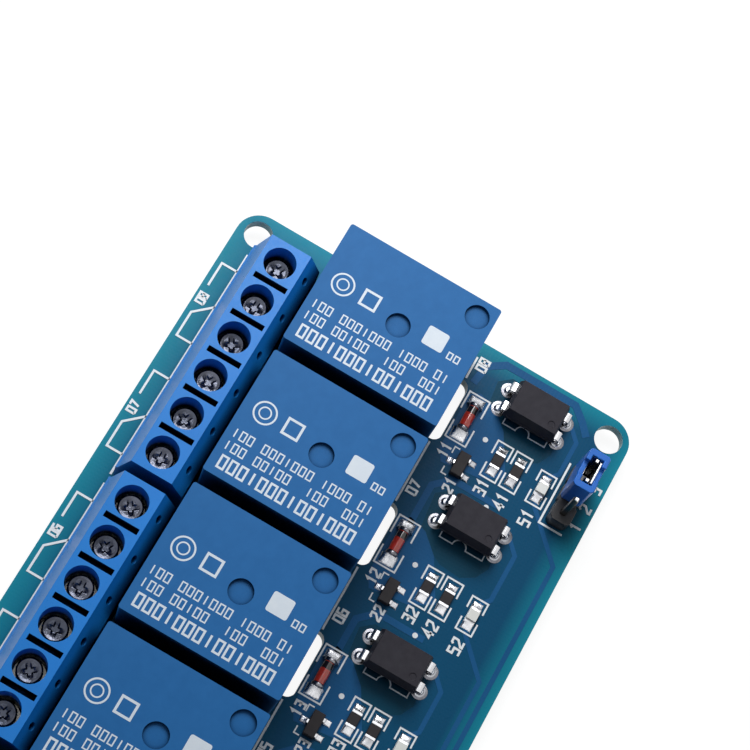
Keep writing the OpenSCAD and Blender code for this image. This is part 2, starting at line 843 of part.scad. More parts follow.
optocoupler(4);  // optocoupler_4
optocoupler(5);  // optocoupler_5
optocoupler(6);  // optocoupler_6
optocoupler(7);  // optocoupler_7
optocoupler(8);  // optocoupler_8
optocoupler_leads();
transistors();
transistor_leads();
diodes();
diode_caps();
resistors();
resistor_ends();
leds();
header_strip(0, input_pins);  // input_header
header_strip(jumper_x, jumper_pins);  // jumper_header
header_pins();
jumper_cap();
jumper_clip();
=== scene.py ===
# %% [markdown]
# # Eight relays on one board
# A relay module is a circuit board that carries a row of eight blue relays, a row of blue
# screw terminals along one edge, and along the other edge the small parts that drive the
# coils: optocouplers, transistors, diodes, resistors, lamps and two pin headers.
# The frame brings every solid in at its real size. This lesson gives each one its finish,
# and builds as surfaces what the solids only stand for: print, copper, solder, glass and screws.

# %% The frame and its box
import math

import bpy
import numpy as np
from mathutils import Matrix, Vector


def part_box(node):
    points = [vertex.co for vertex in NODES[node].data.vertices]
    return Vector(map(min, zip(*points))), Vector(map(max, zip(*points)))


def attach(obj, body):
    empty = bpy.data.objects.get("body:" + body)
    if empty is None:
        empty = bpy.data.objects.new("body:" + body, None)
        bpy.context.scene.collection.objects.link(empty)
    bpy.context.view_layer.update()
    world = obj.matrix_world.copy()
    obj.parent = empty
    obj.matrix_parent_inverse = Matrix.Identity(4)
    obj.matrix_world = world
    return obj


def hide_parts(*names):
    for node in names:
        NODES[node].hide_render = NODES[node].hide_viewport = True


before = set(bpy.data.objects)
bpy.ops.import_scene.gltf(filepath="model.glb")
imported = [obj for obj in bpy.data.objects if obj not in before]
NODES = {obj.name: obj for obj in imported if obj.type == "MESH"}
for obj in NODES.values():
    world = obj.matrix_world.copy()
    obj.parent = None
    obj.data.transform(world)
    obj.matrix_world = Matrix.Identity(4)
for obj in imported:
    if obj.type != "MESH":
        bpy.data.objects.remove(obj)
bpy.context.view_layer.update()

# %% Units
MM = 0.001
CHANNELS = range(1, 9)
BLOCKS = range(1, 5)


def span(node):
    """A solid's lowest and highest corner in millimetres, as two arrays."""
    low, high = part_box(node)
    return np.array(low) / MM, np.array(high) / MM


def middle(node):
    """The middle of a solid's box, in millimetres."""
    low, high = span(node)
    return (low + high) / 2


board_low, board_high = span("pcb")
BOARD_TOP, BOARD_BOTTOM = board_high[2], board_low[2]
print("board top at", round(BOARD_TOP, 3), "mm")

# %% [markdown]
# ## The camera
# The board is seen from above, from over its middle, so the end with relay eight runs away
# from the lens. A long lens far away keeps the two long edges almost parallel. The turn is
# given as three angles, because the view is rolled: the board lies across the frame from
# corner to corner.

# %% Camera
VIEW_PLACE = (-28.387, 1.380, 240.422)
VIEW_TURN = (17.827, -9.6125, -61.104)
LENS = 106.135
lens = bpy.data.cameras.new("view")
lens.lens = LENS
lens.sensor_width = 36
lens.clip_start, lens.clip_end = 0.01, 5
camera = bpy.data.objects.new("view", lens)
camera.location = Vector(VIEW_PLACE) * MM
camera.rotation_euler = [math.radians(a) for a in VIEW_TURN]
bpy.context.scene.collection.objects.link(camera)
bpy.context.scene.camera = camera
print("camera at", [round(x, 3) for x in camera.location])

# %% [markdown]
# ## Floor, world and lamps
# The floor is a plain white sheet under the pin tips. Seen straight by the camera it glows
# almost white by itself, and a thin coat of grey paint is added on top of the glow: where
# the lamps reach it the sum is pure white, and where the board shades it the sum falls just
# short, which is the soft shadow. The world is white for the camera and for what metal and
# gloss reflect, and dim and cool for the light that it gives, so that wells, slots and the
# gaps between the relays go dark; shade painted into the blue finishes darkens them further.

# %% Helpers for nodes, and what the camera, gloss and glass see
scene = bpy.context.scene
scene.view_settings.view_transform = "Standard"


def feed(tree, socket, value):
    """Links an input to another node's output, or sets it to a colour or a plain number."""
    if isinstance(value, bpy.types.NodeSocket):
        tree.links.new(value, socket)
    else:
        socket.default_value = (*value, 1) if isinstance(value, tuple) else value


def fed(tree, made, **inputs):
    """A node with its inputs fed by name, where an underscore stands for a blank."""
    for name, value in inputs.items():
        feed(tree, made.inputs[name.replace("_", " ")], value)
    return made


def node(tree, kind, **inputs):
    """A new node of one kind, with its inputs fed."""
    return fed(tree, tree.nodes.new("ShaderNode" + kind), **inputs)


def maths(tree, operation, *values):
    """The result of one Math node, whose inputs are sockets or plain numbers."""
    step = node(tree, "Math")
    step.operation = operation
    for socket, value in zip(step.inputs, values):
        feed(tree, socket, value)
    return step.outputs[0]


def seen_directly(tree):
    """One where the ray comes from the camera, from a mirror or through glass, else zero."""
    ray = node(tree, "LightPath").outputs
    either = maths(tree, "MAXIMUM", ray["Is Camera Ray"], ray["Is Glossy Ray"])
    return maths(tree, "MAXIMUM", either, ray["Is Transmission Ray"])


def plain(tree, kind, colour, **rest):
    """A shader of one colour."""
    return node(tree, kind, Color=colour, **rest).outputs[0]


def shown_by_sight(tree, output, unseen, seen):
    """Sends one shader to the tree's output, and another one where it is seen directly."""
    mix = node(tree, "MixShader")
    for socket, value in zip(mix.inputs, (seen_directly(tree), unseen, seen)):
        feed(tree, socket, value)
    node(tree, output, Surface=mix.outputs[0])


# %% World
WHITE = (1, 1, 1)
WORLD_TONE, WORLD_STRENGTH = (0.82, 0.90, 1.0), 0.09

world = bpy.data.worlds.new("white_room")
scene.world = world
world.use_nodes = True
tree = world.node_tree
tree.nodes.clear()
dim = plain(tree, "Background", WORLD_TONE, Strength=WORLD_STRENGTH)
white = plain(tree, "Background", WHITE, Strength=1.0)
shown_by_sight(tree, "OutputWorld", dim, white)

# %% Floor
FLOOR_REACH = 1.5
FLOOR_GLOW = 0.92
FLOOR_PAINT, THIN_PAINT = (0.86, 0.87, 0.89), (0.16, 0.16, 0.16)

floor_finish = bpy.data.materials.new("white_floor")
floor_finish.use_nodes = True
tree = floor_finish.node_tree
tree.nodes.clear()
paint = plain(tree, "BsdfDiffuse", FLOOR_PAINT)
lit = node(tree, "AddShader")
feed(tree, lit.inputs[0], plain(tree, "Emission", WHITE, Strength=FLOOR_GLOW))
feed(tree, lit.inputs[1], plain(tree, "BsdfDiffuse", THIN_PAINT))
shown_by_sight(tree, "OutputMaterial", paint, lit.outputs[0])

corners = np.array([(-1, -1, 0), (1, -1, 0), (1, 1, 0), (-1, 1, 0)], float) * FLOOR_REACH
floor_mesh = bpy.data.meshes.new("floor")
floor_mesh.from_pydata(corners.tolist(), [], [(0, 1, 2, 3)])
floor = bpy.data.objects.new("floor", floor_mesh)
floor_mesh.materials.append(floor_finish)
scene.collection.objects.link(floor)


# %% Lamps
def soft_lamp(name, place, target, size, power, tint=(1, 1, 1)):
    """A square lamp at place, turned so that it faces target. Lengths in millimetres."""
    light = bpy.data.lights.new(name, "AREA")
    light.shape = "SQUARE"
    light.size = size * MM
    light.energy = power
    light.color = tint
    lamp = bpy.data.objects.new(name, light)
    lamp.location = Vector(place) * MM
    aim = (Vector(target) - Vector(place)).normalized()
    lamp.rotation_euler = aim.to_track_quat("-Z", "Y").to_euler()
    scene.collection.objects.link(lamp)
    return lamp


soft_lamp("key", (148, 36, 158), (50, 0, 5), 100, 0.28)
soft_lamp("fill", (40, 90, 330), (10, 0, 5), 260, 0.13, (0.9, 0.95, 1))
print("floor and lamps are in place")

# %% [markdown]
# ## Finishes
# Almost every surface here is plastic, lacquer or metal with a fine grain, so one helper
# builds them all: a noise in real millimetres mixes two close tones, ripples the surface
# and unsettles the gloss. The noise reads Object coordinates, and every mesh here has its
# place in its points, so the grain has one scale all over the board.


# %% Values and colours over a surface
WAVE_REPEAT = 0.314
MIX_A, MIX_B, MIX_COLOUR = 6, 7, 2
# The near-black colour of painted shade in recesses.
PAINTED_RECESS_SHADE = (0.001, 0.005, 0.020)


def new_finish(name):
    """A new material, its node tree and the shader in it."""
    finish = bpy.data.materials.new(name)
    finish.use_nodes = True
    return finish, finish.node_tree, finish.node_tree.nodes["Principled BSDF"]


def in_millimetres(tree):
    """Object coordinates counted in millimetres."""
    place = node(tree, "TexCoord").outputs["Object"]
    return node(tree, "Mapping", Vector=place, Scale=[1 / MM] * 3).outputs["Vector"]


def along(tree, vector, axis):
    """One axis of a vector."""
    return node(tree, "SeparateXYZ", Vector=vector).outputs[axis]


def noise(tree, vector, size, detail=3.0):
    """A cloudy value from zero to one, whose clouds are about size millimetres wide."""
    return node(tree, "TexNoise", Vector=vector, Scale=1 / size, Detail=detail).outputs["Fac"]


def bands(tree, vector, axis, pitch, distortion):
    """A wave along one axis, pitch millimetres from crest to crest. At a scale of one the
    texture repeats every tenth of pi."""
    wave = node(tree, "TexWave", Vector=vector, Scale=WAVE_REPEAT / pitch, Distortion=distortion)
    wave.bands_direction = axis
    return wave.outputs["Fac"]


def between(tree, value, low, high, start=0.0, end=1.0):
    """The value drawn from the range low..high onto start..end, and held there."""
    stretch = node(tree, "MapRange", Value=value, From_Min=low, From_Max=high)
    return fed(tree, stretch, To_Min=start, To_Max=end).outputs["Result"]


def mixed(tree, share, first, second):
    """A colour that goes from first to second as share goes from zero to one. The node's
    sockets for colours go by number, because their names repeat."""
    mixer = node(tree, "Mix", Factor=share)
    mixer.data_type = "RGBA"
    feed(tree, mixer.inputs[MIX_A], first)
    feed(tree, mixer.inputs[MIX_B], second)
    return mixer.outputs[MIX_COLOUR]


def rippled(tree, shader, height, depth):
    """Bends the shader's normal by a height from zero to one, depth millimetres tall."""
    bump = node(tree, "Bump", Strength=1.0, Distance=depth * MM, Height=height)
    fed(tree, shader, Normal=bump.outputs["Normal"])


def painted_shade_mask(tree, reach, closed=0.25, free=0.9):
    """A mask for painted shade: one where a point is open to the air, going to nought where
    walls within reach millimetres close it in, as in wells and slits."""
    air = node(tree, "AmbientOcclusion", Distance=reach * MM)
    air.samples = 8
    return between(tree, air.outputs["AO"], closed, free)


# %% A helper for grained finishes
def grained(name, tone, other, rough, grain, ripple, metal=0.0, gloss=0.5, coat=0.0, swing=0.08,
            reach=0):
    """A finish whose colour wanders between two tones and whose skin has a fine grain, grain
    millimetres wide and ripple tall. With reach, shade is painted into its recesses: colour
    and gloss go dark where walls close a point in."""
    finish, tree, shader = new_finish(name)
    place = in_millimetres(tree)
    fine = noise(tree, place, grain)
    broad = noise(tree, place, grain * 12, 2.0)
    colour = mixed(tree, between(tree, broad, 0.3, 0.7), tone, other)
    # Painted shade: near-black colour and no gloss where walls close a point in.
    if reach:
        free = painted_shade_mask(tree, reach)
        colour = mixed(tree, free, PAINTED_RECESS_SHADE, colour)
        gloss = between(tree, free, 0.0, 1.0, 0.0, gloss)
    unsettled = between(tree, fine, 0.3, 0.7, rough - swing, rough + swing)
    fed(tree, shader, Base_Color=colour, Roughness=unsettled, Metallic=metal,
        Specular_IOR_Level=gloss, Coat_Weight=coat, Coat_Roughness=0.12)
    rippled(tree, shader, fine, ripple)
    return finish


# %% [markdown]
# ### Colours of the plastics and metals
# The relay covers are a satin mid blue, the terminals a brighter and glossier one. The
# black pieces are epoxy or nylon, which is never quite black. Tinned and nickelled metal
# look alike but for their grain: solder is smooth and rounded, cut sheet is brushed.

# %% Plastics and metals
# The relay covers and the terminals have shade painted into their recesses, so that wells, slits
# and the gaps between the relays go nearly black.
relay_blue = grained("relay_blue", (0.011, 0.132, 0.378), (0.014, 0.144, 0.405), 0.50, 0.10, 0.003,
                     gloss=0.18, reach=4)
terminal_blue = grained("terminal_blue", (0.012, 0.240, 0.74), (0.010, 0.220, 0.69), 0.34, 0.25,
                        0.002, gloss=0.22, reach=1.8)
epoxy_black = grained("epoxy_black", (0.030, 0.028, 0.036), (0.038, 0.036, 0.045), 0.52, 0.08,
                      0.006, gloss=0.10)
chip_black = grained("chip_black", (0.020, 0.017, 0.019), (0.028, 0.024, 0.026), 0.45, 0.10, 0.004,
                     gloss=0.16)
nylon_black = grained("nylon_black", (0.008, 0.008, 0.010), (0.014, 0.014, 0.017), 0.36, 0.15,
                      0.004, gloss=0.35)
cap_blue = grained("cap_blue", (0.016, 0.150, 0.60), (0.018, 0.165, 0.64), 0.36, 0.2, 0.003,
                   gloss=0.30)
solder_bright = grained("solder_bright", (0.62, 0.63, 0.66), (0.22, 0.23, 0.26), 0.18, 0.12, 0.03,
                        metal=1.0)
pad_tin = grained("pad_tin", (0.88, 0.88, 0.90), (0.50, 0.51, 0.54), 0.22, 0.10, 0.03, metal=1.0)
dull_tin = grained("dull_tin", (0.26, 0.26, 0.28), (0.14, 0.14, 0.16), 0.24, 0.06, 0.01, metal=1.0)
tinned = grained("tinned", (0.70, 0.70, 0.72), (0.60, 0.60, 0.62), 0.28, 0.12, 0.004, metal=1.0)
screw_steel = grained("screw_steel", (0.09, 0.095, 0.12), (0.035, 0.04, 0.055), 0.22, 0.35, 0.04,
                      metal=1.0, swing=0.10)
cage_nickel = grained("cage_nickel", (0.62, 0.60, 0.54), (0.50, 0.48, 0.43), 0.30, 0.15, 0.004,
                      metal=1.0)
brass = grained("brass", (0.72, 0.50, 0.20), (0.60, 0.40, 0.15), 0.30, 0.15, 0.003, metal=1.0)
iron = grained("iron", (0.36, 0.36, 0.37), (0.28, 0.28, 0.29), 0.42, 0.2, 0.006, metal=1.0)
bobbin_white = grained("bobbin_white", (0.70, 0.66, 0.54), (0.64, 0.60, 0.48), 0.45, 0.2, 0.003)
base_black = grained("base_black", (0.014, 0.018, 0.026), (0.020, 0.024, 0.034), 0.5, 0.2, 0.004)
print_white = grained("print_white", (0.96, 0.98, 0.99), (0.93, 0.96, 0.98), 0.50, 0.12, 0.004,
                      gloss=0.35)
relay_ink = grained("relay_ink", (0.80, 0.87, 0.94), (0.74, 0.82, 0.91), 0.50, 0.12, 0.004,
                    gloss=0.3)
lamp_white = grained("lamp_white", (0.92, 0.92, 0.88), (0.84, 0.85, 0.79), 0.22, 0.3, 0.002,
                     coat=0.4)
print("finishes:", len(bpy.data.materials))

# %% [markdown]
# ### The lacquer of the board
# The board is glass cloth in resin under a teal lacquer. Where copper runs beneath, the
# lacquer looks bluer. Along the rim a paler tone is painted in for the light that comes
# through the bare cloth, which is painted light. The drivers' side of the relays is painted
# darker, and shade is painted in near the parts: both are painted shade. The cut edge and
# the holes' walls have no lacquer: there the pale cloth shows. The material asks each face
# which way it points, and how far in from the board's rim it is.

# %% Lacquer over cloth and over copper
HALF_LENGTH, HALF_WIDTH = board_high[0], board_high[1]
RIM_WIDTH = 3.4
# Painted light along the rim; painted shade on the drivers' side and near the parts.
RIM_PAINTED_LIGHT, EDGE_TONE = (0.012, 0.270, 0.370), (0.30, 0.58, 0.62)
DRIVERS_SHADE_TONE, DRIVERS_FROM, DRIVERS_TO = (0.006, 0.082, 0.176), -3.0, -7.0
SHADE_TONE, SHADE_REACH = (0.001, 0.010, 0.022), 3.5
WEAVE_PITCH, WEAVE_DEPTH = 0.45, 0.004


def from_rim(tree, vector):
    """How far in from the nearest long or short edge of the board a point is, in mm."""
    return maths(tree, "MINIMUM", *[
        maths(tree, "SUBTRACT", half, maths(tree, "ABSOLUTE", along(tree, vector, axis)))
        for axis, half in (("X", HALF_LENGTH), ("Y", HALF_WIDTH))
    ])


def lacquer(name, tone, cloud_tone, whole_board=False):
    """Teal lacquer with drifts of tone, shade painted in near the parts and a weave of two
    crossed waves beneath. On the whole board it has painted shade on the drivers' side,
    painted light along the rim and an edge without lacquer."""
    finish, tree, shader = new_finish(name)
    place = in_millimetres(tree)
    clouds = between(tree, noise(tree, place, 9.0, 2.0), 0.35, 0.65)
    colour = mixed(tree, clouds, tone, cloud_tone)
    if whole_board:
        # Painted shade: the lacquer is darker on the drivers' side of the relays.
        side = between(tree, along(tree, place, "Y"), DRIVERS_TO, DRIVERS_FROM)
        colour = mixed(tree, side, DRIVERS_SHADE_TONE, colour)
        # Painted light: a paler rim, for the light that comes through the bare cloth.
        inset = between(tree, from_rim(tree, place), 0.0, RIM_WIDTH, 1.0, 0.0)
        colour = mixed(tree, inset, colour, RIM_PAINTED_LIGHT)
        facing = node(tree, "TexCoord").outputs["Normal"]
        upright = maths(tree, "ABSOLUTE", along(tree, facing, "Z"))
        colour = mixed(tree, between(tree, upright, 0.4, 0.6), EDGE_TONE, colour)
    # Painted shade near the parts, where walls within reach close a point in.
    colour = mixed(tree, painted_shade_mask(tree, SHADE_REACH, 0.05, 0.75), SHADE_TONE, colour)
    rough = between(tree, noise(tree, place, 0.6), 0.3, 0.7, 0.26, 0.36)
    fed(tree, shader, Base_Color=colour, Roughness=rough, Specular_IOR_Level=0.06)
    threads = [bands(tree, place, axis, WEAVE_PITCH, 0.6) for axis in ("X", "Y")]
    rippled(tree, shader, maths(tree, "MULTIPLY", *threads), WEAVE_DEPTH)
    return finish


board_lacquer = lacquer("board_lacquer", (0.003, 0.128, 0.225), (0.004, 0.148, 0.255), True)
copper_lacquer = lacquer("copper_lacquer", (0.014, 0.105, 0.265), (0.017, 0.118, 0.290))
# A darker field round each coupler: partly bare cloth, partly painted shade.
bare_and_shade_lacquer = lacquer("bare_and_shade_lacquer", (0.005, 0.060, 0.110), (0.006, 0.070, 0.125))
print("board, copper and bare lacquer made")

# %% [markdown]
# ## Shapes as arrays
# Every new piece is a surface over a grid: rings of points, one after another, joined by
# quads. A shape with points P and quads F is kept as a pair, so that many copies become one
# mesh by adding each place to P and each copy's offset to F, with no loop over points.


# %% Rings, ribbons and copies
SHARPEST_MITRE = 0.35


def quads(rings, sides, loop):
    """Quads over a grid of rings by sides, closed round each ring. Side j of ring i joins
    side j + 1 and the same two of the next ring, which faces outwards when rings climb and
    sides turn to the left. With loop the last ring joins the first."""
    ring = np.arange(rings if loop else rings - 1)[:, None]
    side = np.arange(sides)[None, :]
    after, beside = (ring + 1) % rings, (side + 1) % sides
    here, there = ring * sides, after * sides
    return np.stack([here + side, here + beside, there + beside, there + side], -1).reshape(-1, 4)


def loft(rings, loop=False):
    """A closed shape from an array of rings (ring, side, xyz): quads between the rings, and
    one flat face over each end, or from the last ring back to the first."""
    count, sides = rings.shape[:2]
    faces = [quads(count, sides, loop)]
    if not loop:
        faces += [np.arange(sides)[None, ::-1], np.arange(sides)[None] + (count - 1) * sides]
    return rings.reshape(-1, 3), faces


def turned(profile, sides, loop=False):
    """A turned shape: profile point (r, h) goes to (r cos t, r sin t, h) for t round a turn."""
    profile = np.array(profile, float)
    turn = np.linspace(0, 2 * np.pi, sides, endpoint=False)
    x = profile[:, :1] * np.cos(turn)
    y = profile[:, :1] * np.sin(turn)
    return loft(np.stack([x, y, np.broadcast_to(profile[:, 1:], x.shape)], -1), loop)


def round_corners(width, depth, radius, steps):
    """Points round a rectangle whose corners are quarter circles, from +X to the left."""
    arc = np.linspace(0, np.pi / 2, steps)
    quarter = np.stack([np.cos(arc), np.sin(arc)], -1) * radius
    spin = [[[1, 0], [0, 1]], [[0, -1], [1, 0]], [[-1, 0], [0, -1]], [[0, 1], [-1, 0]]]
    signs = np.array([[1, 1], [-1, 1], [-1, -1], [1, -1]])
    centre = signs * (np.array([width, depth]) / 2 - radius)
    spun = np.einsum("kab,nb->kna", np.array(spin, float), quarter)
    return (spun + centre[:, None]).reshape(-1, 2)


def moulded(width, depth, radius, levels, steps):
    """A moulded block: at each level (inset, height) the outline is a rounded rectangle,
    drawn in by that inset on every side."""
    rings = []
    for inset, height in levels:
        corner = max(radius - inset, 0.02)
        outline = round_corners(width - 2 * inset, depth - 2 * inset, corner, steps)
        rings.append(np.column_stack([outline, np.full(len(outline), height)]))
    return loft(np.array(rings))


def ribbon(line, width, low, high, closed=False):
    """A flat strip along a line of (x, y) points. At each point the two sides lie half a
    width out along the bisector of the runs that meet there, stretched so that the corner
    is mitred: half / cos(half the turn)."""
    line = np.array(line, float)
    runs = np.diff(np.vstack([line, line[:1]]) if closed else line, axis=0)
    runs /= np.linalg.norm(runs, axis=1)[:, None]
    across = np.stack([-runs[:, 1], runs[:, 0]], -1)
    before = np.roll(across, 1, 0) if closed else np.vstack([across[:1], across])
    after = across if closed else np.vstack([across, across[-1:]])
    bisector = before + after
    bisector /= np.linalg.norm(bisector, axis=1)[:, None]
    narrowing = np.clip((bisector * after).sum(1), SHARPEST_MITRE, 1)[:, None]
    reach = width / 2 / narrowing * bisector
    left, right = line + reach, line - reach
    flat = np.stack([right, left, left, right], 1)
    heights = np.broadcast_to([low, low, high, high], flat.shape[:2])[..., None]
    return loft(np.concatenate([flat, heights], -1), closed)


def copies(shape, places, turns=None):
    """One shape at many places, each turned about Z by its own angle in degrees."""
    points, faces = shape
    places = np.array(places, float).reshape(-1, 3)
    turns = np.radians(np.zeros(len(places)) if turns is None else np.array(turns, float))
    c, s = np.cos(turns)[:, None], np.sin(turns)[:, None]
    x, y, z = points[:, 0], points[:, 1], points[:, 2]
    spread = np.stack([c * x - s * y, s * x + c * y, np.broadcast_to(z, (len(places), len(z)))], -1)
    spread += places[:, None]
    step = np.arange(len(places))[:, None, None] * len(points)
    return spread.reshape(-1, 3), [(f[None] + step).reshape(-1, f.shape[1]) for f in faces]


def together(shapes):
    """Several shapes as one: their points one after another, and each one's faces moved on."""
    starts = np.cumsum([0] + [len(points) for points, _ in shapes[:-1]])
    faces = [f + start for (_, group), start in zip(shapes, starts) for f in group]
    return np.vstack([points for points, _ in shapes]), faces


def piece(name, shape, finish, smooth=None, body="board", instead_of=()):
    """A mesh object from a shape in millimetres, with its finish, riding on a body. Edges
    flatter than smooth degrees are shaded soft. It stands for the solids it is made for."""
    points, faces = shape
    mesh = bpy.data.meshes.new(name)
    mesh.from_pydata((points * MM).tolist(), [], [row for group in faces for row in group.tolist()])
    mesh.validate()
    mesh.materials.append(finish)
    if smooth:
        mesh.shade_smooth()
        mesh.set_sharp_from_angle(angle=math.radians(smooth))
    made = bpy.data.objects.new(name, mesh)
    scene.collection.objects.link(made)
    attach(made, body)
    if instead_of:
        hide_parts(*instead_of)
    print(f"{name}: {len(mesh.polygons)} faces")
    return made

# %% [markdown]
# ## The solids that stay
# Most solids already have the right shape and only look too sharp. Each gets up to three
# modifiers: Weld joins its loose triangles, Decimate in its planar mode dissolves the lines
# across flat faces, and Bevel rounds what is left of the real edges by about a tenth of a
# millimetre, as moulded plastic and stamped sheet are. Nothing in the mesh itself changes.


# %% Soft edges for solids
JOIN_REACH = 0.001
FLAT_TURN, EDGE_TURN = 0.6, 30
EDGE_STEPS = 2


def dress(nodes, finish, edge, flatten=True):
    """Gives solids a finish, and rounds their edges by edge millimetres where faces meet
    at more than EDGE_TURN degrees. A face with round dents in it is left unflattened."""
    for node in nodes:
        solid = NODES[node]
        solid.data.materials.clear()
        solid.data.materials.append(finish)
        if not edge:
            continue
        weld = solid.modifiers.new("join", "WELD")
        weld.merge_threshold = JOIN_REACH * MM
        if flatten:
            flat = solid.modifiers.new("flatten", "DECIMATE")
            flat.decimate_type = "DISSOLVE"
            flat.angle_limit = math.radians(FLAT_TURN)
        bevel = solid.modifiers.new("soften", "BEVEL")
        bevel.width = edge * MM
        bevel.segments = EDGE_STEPS
        bevel.limit_method = "ANGLE"
        bevel.angle_limit = math.radians(EDGE_TURN)
        bevel.harden_normals = True
        bevel.use_clamp_overlap = True
    print(f"{finish.name}: {len(nodes)} solids")


dress(["pcb"], board_lacquer, 0)
dress([f"relay_cover_{k}" for k in CHANNELS], relay_blue, 0.14, flatten=False)
dress([f"terminal_block_{k}" for k in BLOCKS], terminal_blue, 0.08)
dress([f"optocoupler_{k}" for k in CHANNELS], epoxy_black, 0.07)
dress(["input_header", "jumper_header"], nylon_black, 0.08)
dress(["jumper_cap"], cap_blue, 0.12)
dress(["jumper_clip"], tinned, 0.04)
dress(["resistors"], chip_black, 0.05)
dress(["resistor_ends"], tinned, 0.06)
dress(["leds"], lamp_white, 0.06)
dress(["transistors"], chip_black, 0.07)
dress(["diode_caps"], dull_tin, 0.12)
dress(["terminal_cages", "terminal_pins"], cage_nickel, 0.08)

# %% [markdown]
# ### Inside the relays
# A relay's own works can't be seen until a cover is off, but they are all there: iron yoke
# and core, a coil of copper wire on a white bobbin, and the armature with its leaf between
# two contacts. The wire's turns are a fine wave up the coil, which the shader ripples.


# %% Works of the relays
def coil_wire(name, tone, other, pitch):
    """Lacquered wire laid in turns: a wave along Z, pitch millimetres from turn to turn."""
    finish, tree, shader = new_finish(name)
    wave = bands(tree, in_millimetres(tree), "Z", pitch, 0.4)
    fed(tree, shader, Base_Color=mixed(tree, wave, tone, other), Metallic=0.8, Roughness=0.32)
    rippled(tree, shader, wave, 0.05)
    return finish


coil_copper = coil_wire("coil_copper", (0.30, 0.10, 0.04), (0.62, 0.26, 0.10), 0.16)
dress(["relay_windings"], coil_copper, 0)
dress(["relay_bobbins"], bobbin_white, 0.08)
dress(["relay_cores", "relay_yokes"], iron, 0.08)
dress(["relay_contacts"], brass, 0.05)
dress([f"relay_armature_{k}" for k in CHANNELS], brass, 0.05)
dress([f"relay_base_{k}" for k in CHANNELS], base_black, 0.06)
dress(["relay_pins"], tinned, 0.06)

# %% [markdown]
# ## Terminal screws
# A terminal screw has a flat, slightly domed head with a cross recess, sunk in its well.
# The head is a height over a polar grid: a flat middle that rolls down at the rim, less the
# recess, whose two arms fall off towards their ends and sides, and with a low rolled ridge
# near the rim, which catches the light as a broken ring. Each screw stops at its own
# angle, as screws do, and the shaft below it is a plain turned pin with a few thread ridges.

# %% Screw heads from a height over a disc
HEAD_RADIUS, HEAD_THICKNESS, SCREW_RADIUS = 1.45, 1.1, 1.2
RECESS_DEPTH, ARM_REACH, ARM_HALF = 0.24, 0.95, 0.20
ARM_SIDE, ARM_TAPER = 0.10, 0.55
RIDGE_HEIGHT, RIDGE_AT, RIDGE_WIDE = 0.07, 0.80, 0.10
THREAD_RINGS, THREAD_DEPTH = 13, 0.12
SCREW_SIDES = 48
screw_low, screw_high = span("terminal_screws")
HEAD_TOP = screw_high[2]


def recess(x, y):
    """Depth of one arm along x: full within half an arm's width of the axis, and falling in
    a straight slope to nothing at the arm's end."""
    across = np.clip((ARM_HALF + ARM_SIDE - np.abs(y)) / ARM_SIDE, 0, 1)
    lengthwise = np.clip((ARM_REACH - np.abs(x)) / ARM_TAPER, 0, 1)
    return across * lengthwise


def screw():
    """Rings from the tip up the shaft, out under the head, up its rim and in over its top."""
    turn = np.linspace(0, 2 * np.pi, SCREW_SIDES, endpoint=False)
    tip = screw_low[2] - HEAD_TOP
    rings = np.linspace(tip + 0.3, -HEAD_THICKNESS, THREAD_RINGS)
    shaft = [(0.7, tip)]
    shaft += [(SCREW_RADIUS - THREAD_DEPTH * (i % 2), h) for i, h in enumerate(rings)]
    rim = [(HEAD_RADIUS - 0.05, -HEAD_THICKNESS), (HEAD_RADIUS, -HEAD_THICKNESS + 0.08),
           (HEAD_RADIUS, -0.22), (HEAD_RADIUS - 0.06, -0.09), (HEAD_RADIUS - 0.2, -0.01)]
    face = [(r, -0.05 * (r / HEAD_RADIUS) ** 2) for r in np.linspace(HEAD_RADIUS - 0.3, 0.04, 14)]
    profile = np.array(shaft + rim + face)
    x, y = profile[:, :1] * np.cos(turn), profile[:, :1] * np.sin(turn)
    z = np.repeat(profile[:, 1:], SCREW_SIDES, 1)
    inner = np.arange(len(profile))[:, None] >= len(shaft) + len(rim)
    share = np.hypot(x, y) / HEAD_RADIUS
    ridge = RIDGE_HEIGHT * np.exp(-(((share - RIDGE_AT) / RIDGE_WIDE) ** 2)) - RIDGE_HEIGHT
    z = z + inner * (ridge - RECESS_DEPTH * np.maximum(recess(x, y), recess(y, x)))
    return loft(np.stack([x, y, z], -1))


POLES, POLE_PITCH = 6, 5.08
from_middle = (np.arange(POLES) - (POLES - 1) / 2) * POLE_PITCH
pole_x = np.concatenate([middle(f"terminal_block_{k}")[0] + from_middle for k in BLOCKS])
screw_y = (screw_low[1] + screw_high[1]) / 2
screw_places = [(x, screw_y, HEAD_TOP) for x in pole_x]
screw_turns = [20 + 47 * i + 13 * (i % 5) for i in range(len(pole_x))]
screws = copies(screw(), screw_places, screw_turns)
piece("terminal_screw_set", screws, screw_steel, 40, instead_of=["terminal_screws"])

# %% [markdown]
# ## Leads and their solder
# An optocoupler's lead comes out of the body's side, bends down over a rounded shoulder
# and goes through the board; a transistor's lead bends twice and ends as a flat foot. Both
# are a strip carried along a path: at each point of the path the cross-section is a
# rectangle, turned to stand square to the path. Solder climbs each of them in a fillet.

# %% Strips along a bent path
RELAY_PITCH = middle("relay_cover_2")[0] - middle("relay_cover_1")[0]


def bent(corners, radius, steps):
    """The path through corners, each inner one rounded by a quadratic curve that starts and
    ends radius away from it: (1-t)^2 a + 2t(1-t) b + t^2 c."""
    corners = np.array(corners, float)
    path = [corners[:1]]
    share = np.linspace(0, 1, steps)[:, None]
    for before, at, after in zip(corners[:-2], corners[1:-1], corners[2:]):
        a = at + (before - at) / np.linalg.norm(before - at) * radius
        c = at + (after - at) / np.linalg.norm(after - at) * radius
        path.append((1 - share) ** 2 * a + 2 * share * (1 - share) * at + share**2 * c)
    return np.vstack(path + [corners[-1:]])


